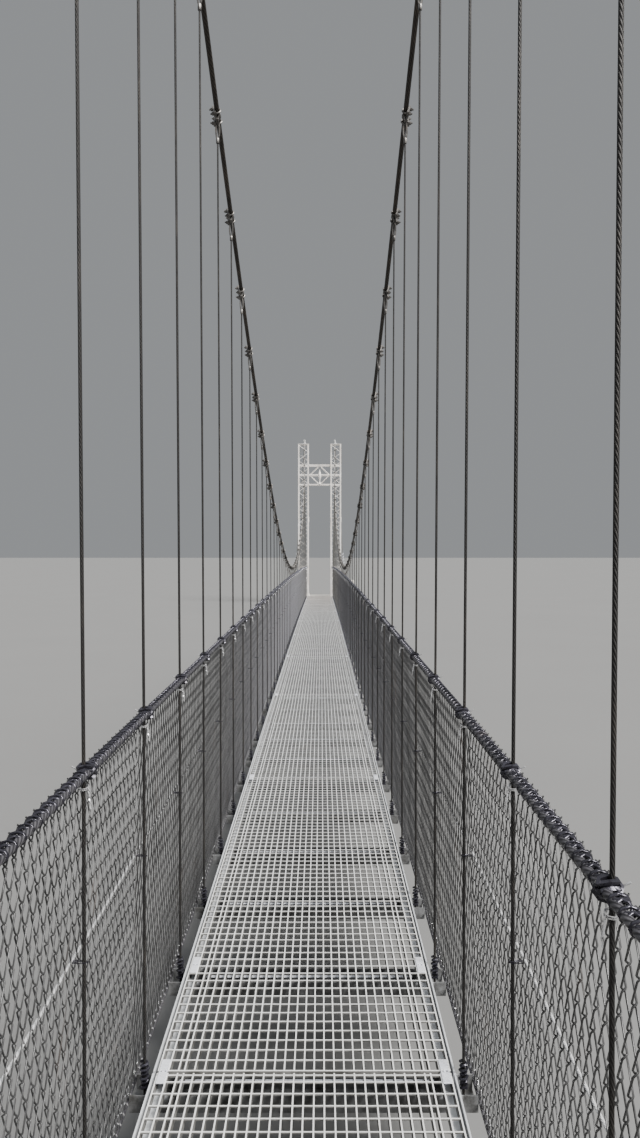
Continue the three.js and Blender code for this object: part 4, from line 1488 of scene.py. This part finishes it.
def tower(end_name, end):
    turn = Matrix.Rotation(math.pi if end > 0 else 0, 4, "Z")
    head = DECK_END_LEVEL + SADDLE_RISE[end]

    def stand(shape, x, level, name, material, slot, node):
        place = Matrix.Translation((x, end * TOWER_Y, level)) @ turn
        dress(shape.placed(place).build(name, material), slot, node)

    base = foundation_shape(end).build(f"{end_name}_footing", "weathered_concrete", bevel=0.012)
    dress(base, "concrete", f"{end_name}_foundation")
    stand(portal_shape(), 0, head - PORTAL_DROP,
          f"{end_name}_portal", "mast_coat", "mast_steel", f"{end_name}_portal_truss")
    for side_name, side in SIDES:
        node = f"{end_name}_{side_name}"
        stand(mast_shape(end), side * MAST_X, DECK_END_LEVEL + SEAT,
              f"{node}_lattice_mast", "mast_coat", "mast_steel", f"{node}_mast")
        stand(saddle_shape(end), side * SADDLE_X, head - SADDLE_HEIGHT,
              f"{node}_rope_saddle", "saddle_steel", "galvanised", f"{node}_saddle")


# Anchors

def anchor(end_name, end, side_name, side):
    half_x, half_y = ANCHOR["width"] / 2, ANCHOR["length"] / 2
    x, y = side * ANCHOR["x"], end * ANCHOR["y"]
    west, east, south, north = x - half_x, x + half_x, y - half_y, y + half_y
    block = Shape()
    block.prism([(west, south), (east, south), (east, north), (west, north)], 0, ANCHOR["height"], 2)
    node = f"{end_name}_{side_name}_anchor"
    dress(block.build(f"{node}_mass", "weathered_concrete", bevel=0.014), "concrete", f"{node}_block")
    dress(anchor_gear(side, end).build(f"{node}_gear", "saddle_steel"), "galvanised", f"{node}_fitting")
    tail = lay_rope(f"{node}_rope_tail", [stay_tail(side, end)], MAIN_ROPE_RADIUS * 0.97, 10, "main_rope")
    dress(tail, "dark_rope")
    grips = [stay_point(side, end, ROD_LENGTH + GRIP_START + GRIP_SPACING * n) for n in range(GRIP_COUNT)]
    turn = tuple(Vector(stay_frame(side, end)[1]).to_track_quat("Z", "Y").to_euler())
    turns = [turn] * GRIP_COUNT
    dress(lay_fittings(f"{node}_rope_grips", rope_grip(), "clip_zinc", grips, turns), "galvanised")


def rope_grip():
    """A grip on a backstay and its tail, along Z: a plate over the rope, a U-bolt and two nuts."""
    half_gap, bolt, tail = 0.0235, 0.0075, 0.026
    plate_low, plate_top, bolt_end = 0.011, 0.034, 0.048
    grip = Shape()
    grip.block((-0.036, plate_low, -0.02), (0.036, plate_top, 0.02), 0.003)
    bow = [(-half_gap, bolt_end, 0), (-half_gap, 0.0, 0)]
    for step in range(9):
        angle = math.pi * step / 8
        bow.append((-half_gap * math.cos(angle), -tail - half_gap * math.sin(angle), 0))
    bow += [(half_gap, 0.0, 0), (half_gap, bolt_end, 0)]
    grip.tube(bow, bolt, 8)
    for x in (-half_gap, half_gap):
        grip.nut((x, plate_top, 0), (0, 1, 0), 0.0135, 0.012)
    return grip


def stay_frame(side, end):
    """A backstay's pin, its direction, the direction across it, and a way to place points on it."""
    pin = anchor_pin(side, end)
    along = stay_point(side, end, 1) - pin
    across = np.array([1.0, 0.0, 0.0])
    up = np.cross(across, along)
    up /= np.linalg.norm(up)

    def on(distance, x=0.0, rise=0.0):
        return pin + along * distance + across * x + up * rise

    return pin, along, across, on


def stay_tail(side, end):
    """The backstay's end round its thimble and back along the rope."""
    on = stay_frame(side, end)[3]
    tail = [on(0.62, 0, 0.008)]
    tail += [on(0.545 - 0.05 * math.sin(a), 0, 0.034 * math.cos(a)) for a in np.linspace(0, math.pi, 11)]
    return tail + [on(0.62, 0, -0.018), on(0.72, 0, -0.026), on(1.36, 0, -0.026)]


# Turned parts of a backstay's fittings, from its pin up: place of each, its stations and sides
NECK = ((0, 0.03), (0.012, 0.032), (0.03, 0.02), (0.06, 0.0175))
FRAME_END = ((0, 0.02), (0.006, 0.028), (0.034, 0.028), (0.04, 0.02))
STAY_PARTS = (
    (-0.002, NECK, 14),
    (0.05, ((0, 0.0175), (0.13, 0.0175)), 10),
    (0.115, FRAME_END, 12),
    (0.37, FRAME_END, 12),
    (0.34, ((0, 0.0165), (0.115, 0.0165)), 10),
)
# The turnbuckle's side bars: distance from the pin and from the middle
FRAME_BENDS = ((0.13, 0.016), (0.15, 0.03), (0.37, 0.03), (0.39, 0.016))


def anchor_gear(side, end):
    """Base plate, clevis, turnbuckle and thimble of one backstay."""
    gear = Shape()
    pin, along, across, on = stay_frame(side, end)
    half = ANCHOR_PLATE[0] / 2
    bottom = ANCHOR["height"] + SEAT
    top = bottom + ANCHOR_PLATE[1]
    gear.block((pin[0] - half, pin[1] - half, bottom), (pin[0] + half, pin[1] + half, top), 0.003)
    for corner in np.ndindex(2, 2):
        dx, dy = np.array(corner) * 2 * PLATE_BOLT - PLATE_BOLT
        gear.bolt((pin[0] + dx, pin[1] + dy, top), (0, 0, 1), 0.011, 0.055)
    for offset in (-0.022, 0.022):
        lug = Shape()
        crown = [(0.04 * math.cos(a), PIN_HEIGHT + 0.038 * math.sin(a)) for a in np.linspace(0, math.pi, 11)]
        outline = [(-0.085, 0.0), (0.085, 0.0), *crown]
        lug.prism(outline, offset - 0.007, offset + 0.007, 0)
        gear.merge(lug, Matrix.Translation((pin[0], pin[1], top - 0.001)))
    gear.rod(0.016, 0.084, pin - across * 0.042, across, 14)
    for sign in (-1, 1):
        gear.nut(pin + across * 0.031 * sign, across * sign, 0.026, 0.012)
    for start, stations, sides in STAY_PARTS:
        gear.turned(stations, on(start), along, sides)
    for sign in (-1, 1):
        gear.tube([on(distance, sign * x) for distance, x in FRAME_BENDS], 0.0095, 8)
    eye = [on(0.497 + 0.042 * math.cos(a), 0, 0.036 * math.sin(a)) for a in np.linspace(0, TURN, 19)[:-1]]
    gear.tube(eye, 0.0125, 8, closed=True)
    return gear


# Build

camera_data = bpy.data.cameras.new("camera")
camera = show("camera", camera_data)
bpy.context.scene.camera = camera

PICTURE = {"width": 640, "height": 1138}
VANISHING_POINT = (321, 553)
FOCAL_PIXELS = 794
SENSOR = 0.036
EYE = (0.051, -14.594, 1.91)

camera_data.sensor_width = SENSOR * 1000
camera_data.lens = SENSOR * 1000 * FOCAL_PIXELS / PICTURE["height"]
camera_data.shift_x = (PICTURE["width"] / 2 - VANISHING_POINT[0]) / PICTURE["height"]
camera_data.shift_y = (VANISHING_POINT[1] - PICTURE["height"] / 2) / PICTURE["height"]
camera_data.clip_start = 0.05
camera_data.clip_end = 500
camera.location = EYE
camera.rotation_euler = (math.pi / 2, 0, 0)

for index in range(PANEL_COUNT):
    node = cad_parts[f"deck_frame_{index + 1}"]
    node.data.materials.clear()
    node.data.materials.append(FINISHES["frame_steel"])
    grating_panel(index)
deck_clips()
crossbeam_strips()
for side_name, side in SIDES:
    fence(side_name, side)
    main_rope(side_name, side)
    hangers(side_name, side)
for end_name, end in ENDS:
    tower(end_name, end)
    for side_name, side in SIDES:
        anchor(end_name, end, side_name, side)

# Stage and light

FLOOR_REACH = 300
floor_corners = [(x * FLOOR_REACH, y * FLOOR_REACH, 0) for x, y in ((-1, -1), (1, -1), (1, 1), (-1, 1))]
floor_mesh = bpy.data.meshes.new("floor")
floor_mesh.from_pydata(floor_corners, [], [(0, 1, 2, 3)])
floor_mesh.materials.append(finish("pale_floor", pale_floor))
floor = show("floor", floor_mesh)

SKY_COLOUR = rgb(0.80, 0.83, 0.86)
SKY_STRENGTH = 0.36

world = bpy.data.worlds.new("studio")
bpy.context.scene.world = world
world.use_nodes = True
sky = world.node_tree.nodes["Background"]
sky.inputs["Color"].default_value = SKY_COLOUR
sky.inputs["Strength"].default_value = SKY_STRENGTH


def soft_sun(name, energy, angle, tilt, heading, colour):
    light = bpy.data.lights.new(name, "SUN")
    light.energy = energy
    light.angle = math.radians(angle)
    light.color = colour
    show(name, light).rotation_euler = (math.radians(tilt), 0, math.radians(heading))


soft_sun("key", energy=9.4, angle=30, tilt=42, heading=50, colour=(1.0, 0.98, 0.95))
soft_sun("top", energy=1.25, angle=110, tilt=0, heading=0, colour=(0.92, 0.95, 1.0))
